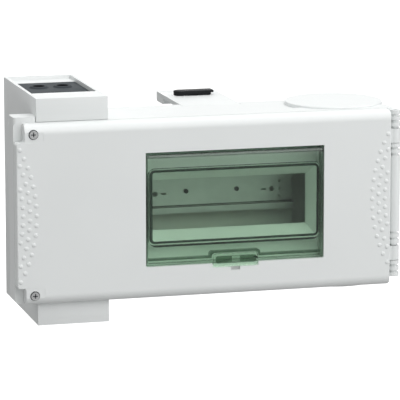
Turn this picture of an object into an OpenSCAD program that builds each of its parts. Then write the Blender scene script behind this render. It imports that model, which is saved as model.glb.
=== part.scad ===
// Distribution box for modular devices: hinged cover with a tinted window flap, base with a round end,
// cable column, mounting rail, connection bars and a hook arm with a sliding latch.
// X runs to the right, Y to the rear and Z up. The origin is on the rear wall, behind the window's centre.

/* [Front cover] */
// Distance from the window's centre line to the cover's left edge
left_reach = 199; // [194:0.5:212]
// Distance from the window's centre line to the cover's right edge
right_reach = 146; // [140:0.5:165]
// Height of the cover and of the base's rim
box_h = 161.6; // [152:0.2:190]
// Depth of the cover, from its front face to the rear edge of its skirt
cover_depth = 11; // [10:0.5:13]
// Radius of the cover's long front edges
edge_r = 9; // [5:0.5:9.5]
// Radius of the cover's short front edges
side_edge_r = 1.2; // [1:0.1:4]
// Radius of the cover's right-hand corners
corner_r = 2.5; // [2:0.5:8]
// Width of the notch in each left-hand corner
notch_w = 7.8; // [5:0.2:9]
// Height of the notch in each left-hand corner
notch_h = 16; // [14:0.5:17]
// Radius of the corners round the notch
notch_r = 2.5; // [1:0.5:4]

/* [Grip dots] */
// Diameter of a grip dot at its foot
dot_d = 3.8; // [2.5:0.1:4.5]
// Height of a grip dot above the cover
dot_rise = 0.7; // [0.4:0.1:1]
// Distance between the dots along the innermost row
dot_pitch = 8.77; // [7:0.01:9]
// Distance between the rows of dots
dot_row_gap = 6.05; // [5.5:0.05:7]
// Radius of the innermost row, with which the others share their centre
dot_arc_r = 125; // [110:1:150]
// Distance from the cover's edge to the middle of the innermost row
dot_inset = 17.7; // [17.5:0.1:22]

/* [Cover screws] */
// Distance from the cover's left edge to the screws
screw_inset = 15.5; // [13:0.5:16.5]
// Distance from the cover's top or bottom edge to the screws
screw_drop = 8.8; // [7:0.1:9]
// Diameter of the screw heads
screw_head_d = 7.4; // [7:0.2:8]
// Diameter of the screw shanks
screw_d = 4; // [3.5:0.1:4.5]
// Length of the screw shanks
screw_len = 23; // [20:0.5:26]

/* [Window flap] */
// Width of the flap
flap_w = 164.4; // [156:0.2:172]
// Height of the flap
flap_h = 102; // [94:1:112]
// Thickness of the flap's clear panel
flap_t = 3; // [2.5:0.1:3.5]
// Depth of the flap's side and bottom skirts
flap_skirt = 10; // [7:0.5:14]
// Radius of the flap's rolled top edge, about its hinge axis
flap_roll_r = 5; // [4.6:0.1:6]
// Diameter of the flap's trunnions
trunnion_d = 4; // [3:0.2:5]
// Width of the flap's pull tab
tab_w = 42; // [30:1:50]
// Height by which the pull tab reaches above the flap's lower edge
tab_h = 8.5; // [7:0.5:12]
// Height by which the pull tab reaches below the flap
tab_drop = 3.5; // [2.5:0.1:4.5]

/* [Fascia and modules] */
// Number of module places
modules = 8; // [6:1:8]
// Width of one module
module_w = 18; // [17.5:0.5:18]
// Height of the modular cut-out
cutout_h = 46; // [45:0.5:47]
// Depth of the fascia's face behind the cover's face
fascia_depth = 22; // [20:0.5:25]
// Thickness of the fascia
fascia_t = 2.5; // [2:0.1:3]

/* [Base] */
// Depth of the box, from the cover's face to the rear wall
box_depth = 90; // [84:1:110]
// Wall thickness of the mouldings
wall = 3; // [2.4:0.1:3.4]
// Gap between the cover's skirt and the base's rim
seam = 2; // [1.5:0.1:2.5]
// Depth of the base's rim
rim_depth = 21; // [19:0.5:26]
// Radius of the rim's corners
rim_r = 4; // [2:0.5:6]
// Step from the rim to the rear body at the top and bottom
body_step = 1.5; // [0.5:0.5:2]
// Height by which the upper screw post stands above the rim
post_rise = 5; // [3:0.5:7]
// Height by which the lower screw post stops short of the rim
post_short = 2; // [1:0.1:2.5]
// Radius of the round right-hand end
boss_r = 45; // [38:0.5:47]
// Diameter of the rear fixing holes
fix_d = 5.5; // [4.5:0.1:6.5]
// Spacing of the rear fixing holes across the box
fix_x = 120; // [100:1:126]
// Spacing of the rear fixing holes up the box
fix_z = 124; // [114:1:130]

/* [Hinges] */
// Distance from the cover's right edge to the hinge axis
hinge_out = 5.5; // [5.3:0.1:6.5]
// Distance from the rim's right edge to the cover's right edge
hinge_margin = 8; // [7.5:0.1:10]
// Radius of the hinge knuckles
knuckle_r = 5; // [4.5:0.1:5]
// Diameter of the hinge pins
pin_d = 4; // [3:0.2:5]
// Height of the cover's knuckle
knuckle_h = 13; // [10:0.2:14]
// Thickness of one rib of a hinge ear
rib_t = 3.6; // [3:0.1:4.2]
// Distance between the ribs of a hinge ear
rib_pitch = 5.6; // [5.5:0.1:7]
// Distance between the two hinges
hinge_pitch = 108; // [104:0.5:116]

/* [Cable column] */
// Width of the column
col_w = 64.7; // [56:0.1:70]
// Distance from the cover's left edge to the column
col_inset = 20.7; // [19:0.1:24]
// Height by which the column stands above and below the cover
col_over = 20.9; // [18:0.1:26]
// Distance by which the column reaches behind the rear wall
col_reach = 64; // [50:1:80]
// Depth of the recess in each end of the column
recess_d = 3.3; // [2.5:0.1:4]
// Distance from the column's front to the gland plate
plate_front = 32; // [26:0.5:40]
// Length of a gland plate
plate_l = 85; // [70:0.5:95]
// Thickness of a gland plate
plate_t = 3; // [2.5:0.1:3.5]
// Diameter of the grommet holes
grommet_d = 15; // [12:0.5:18]
// Distance between the two grommets of a plate
grommet_gap = 22; // [20:0.5:26]

/* [Hook arm] */
// Width of the arm
arm_w = 55; // [45:1:65]
// Distance by which the arm reaches behind the rear wall
arm_reach = 86; // [76:1:100]
// Thickness of the arm
arm_t = 4; // [3.5:0.1:5]
// Length of the turned-down end
hook_l = 25; // [20:0.5:28]
// Height of the turned-down end
hook_h = 9; // [7:0.5:12]
// Width of the latch
latch_w = 37.2; // [30:0.2:40]
// Length of the latch along the arm
latch_l = 12; // [10:0.5:14]
// Height of the latch above the arm
latch_h = 4.3; // [3.5:0.1:5]
// Travel of the latch
latch_travel = 9; // [6:0.5:10]

/* [Rail and bars] */
// Length of the mounting rail
rail_l = 150; // [120:1:160]
// Distance between the rail's screws
rail_screw_gap = 48; // [40:1:60]
// Distance between the round holes near the rail's ends
rail_hole_gap = 111; // [100:1:112]
// Length of a connection bar
bar_l = 110; // [90:1:120]
// Distance of the connection bars above and below the rail's centre
bar_z = 47; // [44:0.5:50]
// Number of terminals on a connection bar
terminals = 9; // [5:1:9]

/* [Hidden] */
$fn = 48;

// Clearances
play = 0.08;       // running fit of pins and trunnions
fit = 0.1;         // sleeves, screws and grommets in their holes
gap = 0.5;         // flap in its window
slip = 0.3;        // moving faces and plates in their rebates
lap = 1;           // overlap of a cut past a face
least_r = 0.8;     // smallest corner radius inside a moulding

// Planes of the box
front_y = -box_depth;
skirt_y = front_y + cover_depth;
rim_y = skirt_y + seam;
rim_back_y = rim_y + rim_depth;
floor_y = -wall;
half_h = box_h / 2;
body_half = half_h - body_step;
cover_w = left_reach + right_reach;
cover_mid = (right_reach - left_reach) / 2;
rim_right = right_reach + hinge_margin;
boss_x = rim_right - boss_r;
boss_y = rim_y + boss_r;

// Grip dots in each row, from the innermost row outwards
dot_rows = [15, 12, 7];
dot_top_r = dot_d / 4;

// Cover screws and posts
screw_x = screw_inset - left_reach;
screw_z = half_h - screw_drop;
screw_head_h = 2.4;
screw_sink = 1.6;
screw_ring = 0.7;
screw_pad_w = 24.5;
screw_pad_sink = 0.25;
sleeve_r = 4.2;
sleeve_bore_r = screw_d / 2 + 1.2;
sleeve_l = screw_len - 6;
post_margin = 4;
post_depth = 20;
post_r = 3;
post_web = 2;
post_low = half_h - notch_h - post_margin;
post_back_y = rim_y + post_depth;
retainer_t = 1;
retainer_w = 2;
screw_boss_r = 6;
screw_boss_l = 4;
retainer_y = front_y + wall + screw_boss_l;

// Window, flap and fascia
window_w = flap_w + 2 * gap;
window_h = flap_h + 2 * gap;
flap_r = 1;
jamb_t = 3;
fascia_margin = 4;
fascia_y = front_y + fascia_depth;
fascia_w = window_w + 2 * (jamb_t + fascia_margin);
fascia_h = window_h + 2 * jamb_t;
cutout_w = modules * module_w;
cutout_r = 1;
bezel_t = 2;
mouth_gap = 1.7;
mouth_above = 10;
mouth_below = 8;
mouth_depth = 6.5;
mouth_y = front_y + mouth_depth;
pivot_y = front_y + flap_roll_r;
pivot_z = flap_h / 2 - flap_roll_r;
skirt_t = 2;
mouth_w = flap_w - 2 * (skirt_t + bezel_t + mouth_gap);
trunnion_l = 2.4;
frame_side = 3.7;
frame_above = 17.5;
frame_below = 20;
frame_r = 4;
frame_t = 3;
frame_d = 2.5;
frame_w = flap_w - 2 * frame_side;
frame_h = flap_h - frame_above - frame_below;
frame_z = (frame_below - frame_above) / 2;
groove_d = 0.8;
tab_t = 2;
tab_r = 3;
tab_rise = 1.4;
tab_groove_w = 3.5;
tab_low = -flap_h / 2 - tab_drop;
pocket_frame = 2.2;
pocket_lip = 3;
pocket_rib = 8;
pocket_d = 1.8;
lever_w = 8.4;
lever_h = 3.2;
lever_d = 2;
lever_margin = 3;
fascia_screw_r = 1.5;
fascia_screw_grip = 7;
fascia_screw_out = 1.4;
fascia_screw_drop = 12;
fascia_screw_x = window_w / 2 + jamb_t + fascia_screw_out;
fascia_screw_z = window_h / 2 - fascia_screw_drop;
fascia_boss_r = 4;
fascia_boss_l = 10;
fascia_pilot = 8;
small_head_r = 2.8;
small_head_h = 1.8;

// Hinges
axis_x = right_reach + hinge_out;
axis_depth = 7;
axis_y = front_y + axis_depth;
hinge_drop = 1;
rib_count = 3;
rib_core = 1.6;
knuckle_slip = 0.5;
knuckle_drop = rib_count * rib_pitch;
ribs_h = knuckle_drop - rib_pitch + rib_t;
hinge_h = knuckle_drop + knuckle_h + knuckle_slip + ribs_h;
knuckle_web = 2;
pin_floor = 3;
pin_sink = 0.5;
hinge_tops = [half_h - hinge_drop, half_h - hinge_drop - hinge_pitch];
hinge_low = hinge_tops[1] - hinge_h;

// Cable column
col_x0 = col_inset - left_reach;
col_x1 = col_x0 + col_w;
col_mid = (col_x0 + col_x1) / 2;
col_top = half_h + col_over;
col_rear_y = col_reach;
lip_low = half_h + slip;
recess_floor = col_top - recess_d;
plate_low = recess_floor - plate_t;
ledge_t = 3.2;
ledge_w = 4;
duct_top = plate_low - ledge_t;
plate_y = rim_y + plate_front;
plate_w = col_w - 2 * wall;
recess_back = 0.6;
recess_back_y = col_rear_y - wall - recess_back;
grommet_in = 55.25;
grommet_y = plate_y + grommet_in;
grommet_wall = 2;
grommet_rise = 1.5;
grommet_flange = 1.6;
grommet_barb = 1;
grommet_drop = 2;
membrane_t = 1.5;
membrane_dip = 1;
pass_w = 44;
pass_h = 110;
pass_r = 5;
col_screw_x = 21;
col_screw_drop = 12;
col_screw_z = half_h - col_screw_drop;
col_screw_r = 1.9;
col_head_r = 3.4;
col_head_h = 2.2;
col_boss_r = 5;
col_boss_l = 9;

// Hook arm
arm_top = body_half;
arm_low = arm_top - arm_t;
arm_root_y = -11;
arm_pad_t = 4;
arm_pad_margin = 4;
hook_y = arm_reach - hook_l;
hook_r = 3;
arm_screw_inset = 9;
arm_screw_x = arm_w / 2 - arm_screw_inset;
arm_screw_y = (arm_root_y + floor_y) / 2;
arm_screw_r = 1.5;
arm_skin = 1;
arm_screw_end = 0.5;
arm_screw_l = arm_pad_t + arm_t - arm_skin - arm_screw_end;
latch_x = -0.4;
latch_y = hook_y - latch_l + slip;
stem_w = 12;
stem_l = 2;
stem_margin = 0.6;
stem_y = latch_y + latch_l - stem_margin - stem_l;
foot_w = 20;
foot_margin = 1;
foot_l = latch_l - 2 * foot_margin;
foot_y = stem_y + stem_l - foot_l;
foot_h = 6;
latch_step = 2.5;
slot_front_y = stem_y - latch_travel - slip;
slot_l = stem_l + latch_travel + 2 * slip;

// Rail, bars and round entries
rail_h = 35;
rail_web_h = 25;
rail_d = 7.5;
rail_t = 1;
module_depth = 46.5;
rail_y = fascia_y + module_depth;
web_y = rail_y + rail_d;
rail_boss_r = 6;
rail_screw_x = -2.3;
rail_screw_z = 1.7;
rail_screw_r = 1.5;
rail_head_r = 2.1;
rail_head_h = 1.8;
rail_screw_grip = 7;
rail_pilot = 8;
rail_hole_d = 5;
rail_slot_w = 5;
rail_slot_h = 1.6;
rail_slot_in = 8;
rail_nick = 2.2;
rail_nick_out = 7;
bar_s = 8;
bar_stand = 12;
bar_y = floor_y - bar_stand;
bar_support_inset = 8;
bar_support_x = bar_l / 2 - bar_support_inset;
bar_support_w = 10;
bar_support_h = bar_s + 2;
terminal_pitch = 9.5;
terminal_r = 1.9;
terminal_l = 2.4;
terminal_head_r = 2.6;
terminal_head_h = 1.6;
cable_hole_r = 2.4;
entry_margin = 7;
entry_r = boss_r - entry_margin;
cap_margin = 0.5;
cap_r = boss_r - cap_margin;
cap_t = 2;
cap_edge_r = 1;
cap_plug_l = 6;
gasket_inset = 0.5;

// Colours
white_plastic = [0.86, 0.87, 0.86];
dark_plastic = [0.25, 0.27, 0.29];
black_plastic = [0.07, 0.08, 0.09];
steel = [0.62, 0.63, 0.64];
brass = [0.78, 0.62, 0.32];
tint = [0.42, 0.66, 0.5, 0.5];

// Extrudes an outline in X and Z from a plane towards the rear
module along_y(y, depth) {
    translate([0, y + depth, 0]) rotate([90, 0, 0]) linear_extrude(depth) children();
}

// Extrudes a profile in Y and Z from a plane towards the right
module along_x(x, length) {
    translate([x, 0, 0]) rotate([90, 0, 90]) linear_extrude(length) children();
}

// Turns a shape that stands on Z so that it points to the rear
module facing_rear() {
    rotate([-90, 0, 0]) children();
}

// Repeats a shape above and below the middle plane
module both_ends() {
    children();
    mirror([0, 0, 1]) children();
}

// Rectangle with round corners, about the origin
module round_rect(w, h, r) {
    square([w - 2 * r, h], center = true);
    square([w, h - 2 * r], center = true);
    for (sx = [-1, 1], sy = [-1, 1])
        translate([sx * (w / 2 - r), sy * (h / 2 - r)]) circle(r);
}

// Profile with its two front corners rounded, its front at zero on the first axis
module front_rounded(depth, height, r) {
    translate([r, -height / 2]) square([depth - r, height]);
    translate([0, r - height / 2]) square([depth, height - 2 * r]);
    for (s = [-1, 1])
        translate([r, s * (height / 2 - r)]) circle(r);
}

// What a round corner takes off a square one, with the corner at the origin
module corner_cut(r) {
    difference() {
        translate([-lap, -lap]) square(r + lap);
        translate([r, r]) circle(r);
    }
}

// Pan-head screw that points to the rear, its head's seat at the origin
module pan_screw(head_r, head_h, shank_r, length) {
    cross_l = 1.25 * head_r;
    cross_w = 0.28 * head_r;
    facing_rear() {
        difference() {
            translate([0, 0, -head_h]) cylinder(r = head_r, h = head_h);
            for (turn = [0, 90])
                translate([0, 0, -head_h]) rotate(turn) cube([cross_l, cross_w, head_h], center = true);
        }
        cylinder(r = shank_r, h = length);
    }
}

// Outline of the cover, moved in by an inset
module cover_outline(inset) {
    difference() {
        translate([cover_mid, 0])
            round_rect(cover_w - 2 * inset, box_h - 2 * inset, max(corner_r - inset, least_r));
        for (s = [-1, 1])
            translate([-left_reach, s * half_h])
                round_rect(2 * (notch_w + inset), 2 * (notch_h + inset), notch_r);
        if (inset == 0)
            for (s = [-1, 1], corner = [[0, notch_h], [notch_w, 0]])
                translate([corner[0] - left_reach, s * (half_h - corner[1])])
                    scale([1, -s]) corner_cut(notch_r);
    }
}

// The cover's block, moved in by an inset and closed at its rear by a plane
module cover_block(inset, rear_y) {
    depth = rear_y - front_y - inset;
    intersection() {
        along_y(front_y + inset, depth) cover_outline(inset);
        along_x(-left_reach - lap, cover_w + 2 * lap)
            translate([front_y + inset, 0])
                front_rounded(depth, box_h - 2 * inset, edge_r - inset);
    }
}

// The cover's block with its short front edges rounded
module cover_skin() {
    intersection() {
        cover_block(0, skirt_y);
        translate([cover_mid, front_y, -half_h - lap])
            linear_extrude(box_h + 2 * lap)
                rotate(90) front_rounded(cover_depth, cover_w, side_edge_r);
    }
}

// Knuckle of one hinge on the cover, below its top
module cover_knuckle(top) {
    low = top - knuckle_drop - knuckle_h;
    translate([axis_x, axis_y, low]) cylinder(r = knuckle_r, h = knuckle_h);
    translate([right_reach - wall, axis_y - knuckle_r + lap, low])
        cube([hinge_out + wall, knuckle_r + knuckle_web, knuckle_h]);
}

// Rows of grip dots that bow in from the cover's left edge, which lies at zero
module grip_dots() {
    for (row = [0 : len(dot_rows) - 1], i = [0 : dot_rows[row] - 1])
        let (angle = (i - (dot_rows[row] - 1) / 2) * dot_pitch / dot_arc_r * 180 / PI,
                row_r = dot_arc_r - row * dot_row_gap)
            translate([dot_inset - dot_arc_r + row_r * cos(angle), front_y - dot_rise, row_r * sin(angle)])
                facing_rear() cylinder(r1 = dot_top_r, r2 = dot_d / 2, h = dot_rise);
}

module front_cover() {
    color(white_plastic)
    difference() {
        union() {
            difference() {
                cover_skin();
                cover_block(wall, skirt_y + lap);
            }
            along_y(front_y + wall / 2, fascia_depth - wall / 2) flap_outline(gap + jamb_t);
            translate([-tab_w / 2, front_y + wall / 2, tab_low - gap - lever_h - lever_margin])
                cube([tab_w, wall + lever_d - wall / 2, lever_h + lever_margin + tab_drop]);
            for (sx = [-1, 1], sz = [-1, 1])
                translate([sx * fascia_screw_x, fascia_y - fascia_boss_l, sz * fascia_screw_z])
                    facing_rear() cylinder(r = fascia_boss_r, h = fascia_boss_l);
            intersection() {
                both_ends() translate([screw_x, front_y, screw_z])
                    facing_rear() cylinder(r = screw_boss_r, h = retainer_y - front_y);
                cover_block(0, skirt_y);
            }
            for (top = hinge_tops) cover_knuckle(top);
            translate([-left_reach, 0, 0]) grip_dots();
            translate([right_reach, 0, 0]) mirror([1, 0, 0]) grip_dots();
        }
        along_y(front_y - lap, fascia_depth + 2 * lap) flap_outline(gap);
        for (sx = [-1, 1], sz = [-1, 1])
            translate([sx * fascia_screw_x, fascia_y - fascia_pilot, sz * fascia_screw_z])
                facing_rear() cylinder(r = fascia_screw_r + fit, h = fascia_pilot + lap);
        both_ends() {
            translate([screw_x, front_y - lap, screw_z]) facing_rear() {
                cylinder(d = screw_d + 2 * fit, h = cover_depth);
                cylinder(r = screw_head_d / 2 + screw_ring, h = screw_sink + lap);
            }
            translate([-left_reach - lap, front_y - lap, half_h - notch_h])
                cube([screw_pad_w + lap, lap + screw_pad_sink, notch_h + lap]);
        }
        translate([-window_w / 2 - jamb_t - lap, pivot_y, pivot_z])
            rotate([0, 90, 0]) cylinder(d = trunnion_d + 2 * play, h = window_w + 2 * (jamb_t + lap));
        for (top = hinge_tops)
            translate([axis_x, axis_y, top - hinge_h])
                cylinder(d = pin_d + 2 * play, h = hinge_h);
        translate([-tab_w / 2 - gap, front_y - lap, tab_low - gap])
            cube([tab_w + 2 * gap, tab_t + gap + lap, tab_drop + 2 * gap]);
        translate([-lever_w / 2, front_y - lap, tab_low - gap - lever_h])
            cube([lever_w, lever_d + lap, lever_h + lap]);
    }
}

// Space of the bezel, from its mouth to the narrower cut-out, moved out by a margin and longer by laps
module bezel_space(margin, front_lap, rear_lap) {
    mouth_x = mouth_w / 2 + margin;
    cut_x = cutout_w / 2 + margin;
    cut_z = cutout_h / 2 + margin;
    front = mouth_y - front_lap;
    rear = fascia_y + rear_lap;
    intersection() {
        translate([0, 0, -half_h]) linear_extrude(box_h)
            polygon([[-mouth_x, front], [mouth_x, front], [mouth_x, mouth_y], [cut_x, fascia_y], [cut_x, rear],
                [-cut_x, rear], [-cut_x, fascia_y], [-mouth_x, mouth_y]]);
        along_x(-window_w / 2, window_w)
            polygon([[front, -cut_z - mouth_below], [mouth_y, -cut_z - mouth_below], [fascia_y, -cut_z],
                [rear, -cut_z], [rear, cut_z], [fascia_y, cut_z], [mouth_y, cut_z + mouth_above],
                [front, cut_z + mouth_above]]);
    }
}

module fascia() {
    color(white_plastic)
    difference() {
        union() {
            along_y(fascia_y, fascia_t) round_rect(fascia_w, fascia_h, flap_r);
            bezel_space(bezel_t, 0, lap);
        }
        bezel_space(0, lap, 0);
        along_y(fascia_y - lap, fascia_t + 2 * lap) round_rect(cutout_w, cutout_h, cutout_r);
        for (sx = [-1, 1], sz = [-1, 1])
            translate([sx * fascia_screw_x, fascia_y - lap, sz * fascia_screw_z])
                facing_rear() cylinder(r = fascia_screw_r + fit, h = fascia_t + 2 * lap);
    }
}

module fascia_screws() {
    color(steel)
    for (sx = [-1, 1], sz = [-1, 1])
        translate([sx * fascia_screw_x, fascia_y + fascia_t, sz * fascia_screw_z]) mirror([0, 1, 0])
            pan_screw(small_head_r, small_head_h, fascia_screw_r, fascia_t + fascia_screw_grip);
}

module cover_screws() {
    color(steel)
    both_ends() translate([screw_x, front_y + screw_sink, screw_z])
        pan_screw(screw_head_d / 2, screw_head_h, screw_d / 2, screw_len);
}

module screw_retainers() {
    color(black_plastic)
    both_ends() translate([screw_x, retainer_y, screw_z]) facing_rear() difference() {
        cylinder(r = screw_d / 2 + retainer_w, h = retainer_t);
        translate([0, 0, -lap]) cylinder(d = screw_d + 2 * fit, h = retainer_t + 2 * lap);
    }
}

// Outline of the flap, moved out by a margin: round lower corners and square upper ones
module flap_outline(margin) {
    round_rect(flap_w + 2 * margin, flap_h + 2 * margin, flap_r + margin);
    translate([-flap_w / 2 - margin, 0]) square([flap_w + 2 * margin, flap_h / 2 + margin]);
}

// Outline of the pull tab, moved out by a margin at its sides and top
module tab_outline(margin) {
    height = tab_drop + tab_h + margin;
    translate([0, tab_low + height / 2]) round_rect(tab_w + 2 * margin, height, tab_r + margin);
}

// Two finger pockets in the pull tab, with a rib between them
module tab_pockets() {
    low = tab_low + pocket_lip;
    height = tab_h + tab_drop - pocket_lip - pocket_frame;
    translate([0, low + height / 2]) difference() {
        round_rect(tab_w - 2 * pocket_frame, height, tab_r - pocket_frame / 2);
        square([pocket_rib, height + lap], center = true);
    }
}

// Section of the flap: a flat panel whose top edge rolls back about the hinge axis
module flap_section() {
    translate([front_y, -flap_h / 2]) square([flap_t, pivot_z + flap_h / 2]);
    intersection() {
        translate([pivot_y, pivot_z]) difference() {
            circle(flap_roll_r);
            circle(flap_roll_r - flap_t);
        }
        translate([front_y, pivot_z]) square(flap_roll_r);
    }
    translate([front_y, -flap_h / 2]) square([flap_skirt, skirt_t]);
}

module window_flap() {
    color(tint)
    difference() {
        union() {
            intersection() {
                along_x(-flap_w / 2, flap_w) flap_section();
                along_y(front_y - lap, box_depth) flap_outline(0);
            }
            for (s = [-1, 1]) translate([s * (flap_w / 2 - skirt_t / 2), 0, 0]) {
                translate([-skirt_t / 2, front_y + lap, flap_r - flap_h / 2])
                    cube([skirt_t, flap_skirt - lap, pivot_z + flap_h / 2 - flap_r]);
                translate([-skirt_t / 2, pivot_y, pivot_z])
                    rotate([0, 90, 0]) cylinder(r = flap_roll_r - lap, h = skirt_t);
            }
            for (s = [0, 1]) mirror([s, 0, 0])
                translate([flap_w / 2 - skirt_t, pivot_y, pivot_z])
                    rotate([0, 90, 0]) cylinder(d = trunnion_d, h = skirt_t + gap + trunnion_l);
            along_y(front_y - tab_rise, tab_rise + tab_t) tab_outline(0);
            along_y(front_y + flap_t - lap, frame_d + lap) translate([0, frame_z]) difference() {
                round_rect(frame_w + 2 * frame_t, frame_h + 2 * frame_t, frame_r + frame_t);
                round_rect(frame_w, frame_h, frame_r);
            }
        }
        along_y(front_y - lap, groove_d + lap) difference() {
            tab_outline(tab_groove_w);
            tab_outline(0);
        }
        along_y(front_y - tab_rise - lap, pocket_d + lap) tab_pockets();
    }
}

// Plan of the base's part of a hinge, moved in by an inset
module hinge_plan(inset) {
    translate([axis_x, axis_y]) circle(knuckle_r - inset);
    translate([axis_x - knuckle_r + inset, axis_y])
        square([rim_right - axis_x + knuckle_r - 2 * inset, rim_y - axis_y + lap]);
}

// Ribs of one hinge ear on the base, counted down from a height, on a slimmer core
module hinge_ribs(top, core_h) {
    for (i = [0 : rib_count - 1])
        translate([0, 0, top - i * rib_pitch - rib_t]) linear_extrude(rib_t) hinge_plan(0);
    translate([0, 0, top - core_h]) linear_extrude(core_h) hinge_plan(rib_core);
}

// Plan of the rear body, moved in by an inset, with its round end
module body_plan(inset) {
    translate([col_x1 + inset, rim_y])
        square([boss_x - col_x1 - inset, -rim_y - inset]);
    intersection() {
        translate([boss_x, boss_y]) circle(boss_r - inset);
        translate([boss_x - boss_r, rim_y]) square(2 * boss_r);
    }
}

// Outline of the base's rim, moved in by an inset: it reaches past the cover down to the lower hinge's end
module rim_outline(inset) {
    difference() {
        translate([(rim_right - left_reach) / 2, 0])
            round_rect(rim_right + left_reach - 2 * inset, box_h - 2 * inset, rim_r - inset / 2);
        translate([right_reach - inset, -half_h - lap])
            square([hinge_margin + inset + lap, half_h + hinge_low + inset + lap]);
    }
}

// One screw post at the upper left corner of the base, which ends some way above the rim
module screw_post(rise) {
    translate([-left_reach + col_inset / 2, (rim_y + post_back_y) / 2, post_low])
        linear_extrude(half_h + rise - post_low)
            round_rect(col_inset, post_depth, post_r);
    translate([col_x0 - lap, rim_y, post_low])
        cube([sleeve_r + post_web, post_depth, half_h - post_low - fit]);
}

// Pad under the root of the hook arm, inside the top wall
module arm_pad() {
    translate([-arm_w / 2 - arm_pad_margin, arm_root_y - arm_pad_margin, arm_low - arm_pad_t])
        cube([arm_w + 2 * arm_pad_margin, -arm_root_y + arm_pad_margin - lap, arm_pad_t + lap]);
}

module base_shell() {
    color(white_plastic)
    difference() {
        union() {
            difference() {
                union() {
                    along_y(rim_y, rim_depth) rim_outline(0);
                    translate([0, 0, -body_half]) linear_extrude(2 * body_half) body_plan(0);
                    translate([boss_x, boss_y, -half_h]) cylinder(r = boss_r, h = box_h);
                }
                along_y(rim_y - lap, rim_depth - wall + lap) intersection() {
                    rim_outline(wall);
                    translate([-left_reach, -half_h]) square([cover_w - wall, box_h]);
                }
                along_y(rim_y + wall, rim_depth - 2 * wall) rim_outline(wall);
                translate([0, 0, wall - body_half])
                    linear_extrude(2 * (body_half - wall)) intersection() {
                        body_plan(wall);
                        translate([-left_reach, rim_y + wall]) square([2 * left_reach, box_depth + boss_r]);
                    }
            }
            screw_post(post_rise);
            mirror([0, 0, 1]) screw_post(-post_short);
            for (top = hinge_tops) {
                hinge_ribs(top, knuckle_drop - knuckle_slip);
                hinge_ribs(top - knuckle_drop - knuckle_h - knuckle_slip, ribs_h);
            }
            translate([0, 0, hinge_tops[1] - lap])
                linear_extrude(hinge_pitch - hinge_h + 2 * lap) hinge_plan(0);
            at_rail_screws(web_y) cylinder(r = rail_boss_r, h = -web_y - lap);
            arm_pad();
        }
        both_ends() {
            translate([screw_x, rim_y - lap, screw_z])
                facing_rear() cylinder(r = sleeve_r + fit, h = sleeve_l + lap);
            translate([boss_x, boss_y, body_half - wall - lap])
                cylinder(r = entry_r, h = wall + body_step + 2 * lap);
        }
        for (top = hinge_tops)
            translate([axis_x, axis_y, top - hinge_h - lap])
                cylinder(d = pin_d + 2 * fit, h = hinge_h + 2 * lap);
        at_rail_screws(web_y - lap) cylinder(r = rail_screw_r + fit, h = rail_pilot + lap);
        for (sx = [-1, 1], sz = [-1, 1]) {
            translate([sx * fix_x / 2, floor_y - lap, sz * fix_z / 2])
                facing_rear() cylinder(d = fix_d, h = wall + 2 * lap);
            translate([col_mid + sx * col_screw_x, rim_back_y - wall - lap, sz * col_screw_z])
                facing_rear() cylinder(r = col_screw_r + fit, h = wall + 2 * lap);
        }
        along_y(rim_back_y - wall - lap, wall + 2 * lap)
            translate([col_mid, 0]) round_rect(pass_w, pass_h, pass_r);
        translate([-arm_w / 2 - slip, arm_root_y - slip, arm_low])
            cube([arm_w + 2 * slip, -arm_root_y + slip + lap, arm_t + lap]);
        for (s = [-1, 1])
            translate([s * arm_screw_x, arm_screw_y, arm_low - arm_pad_t - lap])
                cylinder(r = arm_screw_r + fit, h = arm_pad_t + 2 * lap);
    }
}

// Upper half of one end of the column's cavities: recess, rebate, plate opening and duct
module column_end_cuts() {
    translate([col_x0 + wall, plate_y, recess_floor])
        cube([plate_w, recess_back_y - plate_y, recess_d + lap]);
    translate([col_x0 + wall, plate_y, plate_low])
        cube([plate_w, plate_l, plate_t + lap]);
    translate([col_x0 + wall, plate_y + ledge_w, duct_top - lap])
        cube([plate_w, plate_l - 2 * ledge_w, ledge_t + 2 * lap]);
    translate([col_x0 + wall, rim_y + wall, lip_low + wall])
        cube([col_w - 2 * wall, col_rear_y - rim_y - 2 * wall, duct_top - lip_low - wall]);
}

module cable_column() {
    color(white_plastic)
    difference() {
        union() {
            difference() {
                union() {
                    translate([col_x0, rim_back_y, -col_top])
                        cube([col_w, col_rear_y - rim_back_y, 2 * col_top]);
                    both_ends() translate([col_x0, rim_y, lip_low])
                        cube([col_w, rim_depth + lap, col_top - lip_low]);
                }
                translate([col_x0 + wall, rim_back_y + wall, -duct_top])
                    cube([col_w - 2 * wall, col_rear_y - rim_back_y - 2 * wall, 2 * duct_top]);
                both_ends() column_end_cuts();
            }
            for (sx = [-1, 1], sz = [-1, 1])
                translate([col_mid + sx * col_screw_x, rim_back_y + wall - lap, sz * col_screw_z])
                    facing_rear() cylinder(r = col_boss_r, h = col_boss_l + lap);
        }
        for (sx = [-1, 1], sz = [-1, 1])
            translate([col_mid + sx * col_screw_x, rim_back_y - lap, sz * col_screw_z])
                facing_rear() cylinder(r = col_screw_r + fit, h = wall + col_boss_l + 2 * lap);
        along_y(rim_back_y - lap, wall + 2 * lap)
            translate([col_mid, 0]) round_rect(pass_w, pass_h, pass_r);
    }
}

// Gland plate for the upper end of the column
module gland_plate() {
    color(dark_plastic)
    difference() {
        translate([col_x0 + wall + slip, plate_y + slip, plate_low])
            cube([plate_w - 2 * slip, plate_l - 2 * slip, plate_t]);
        for (s = [-1, 1])
            translate([col_mid + s * grommet_gap / 2, grommet_y, plate_low - lap])
                cylinder(d = grommet_d, h = plate_t + 2 * lap);
    }
}

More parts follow.
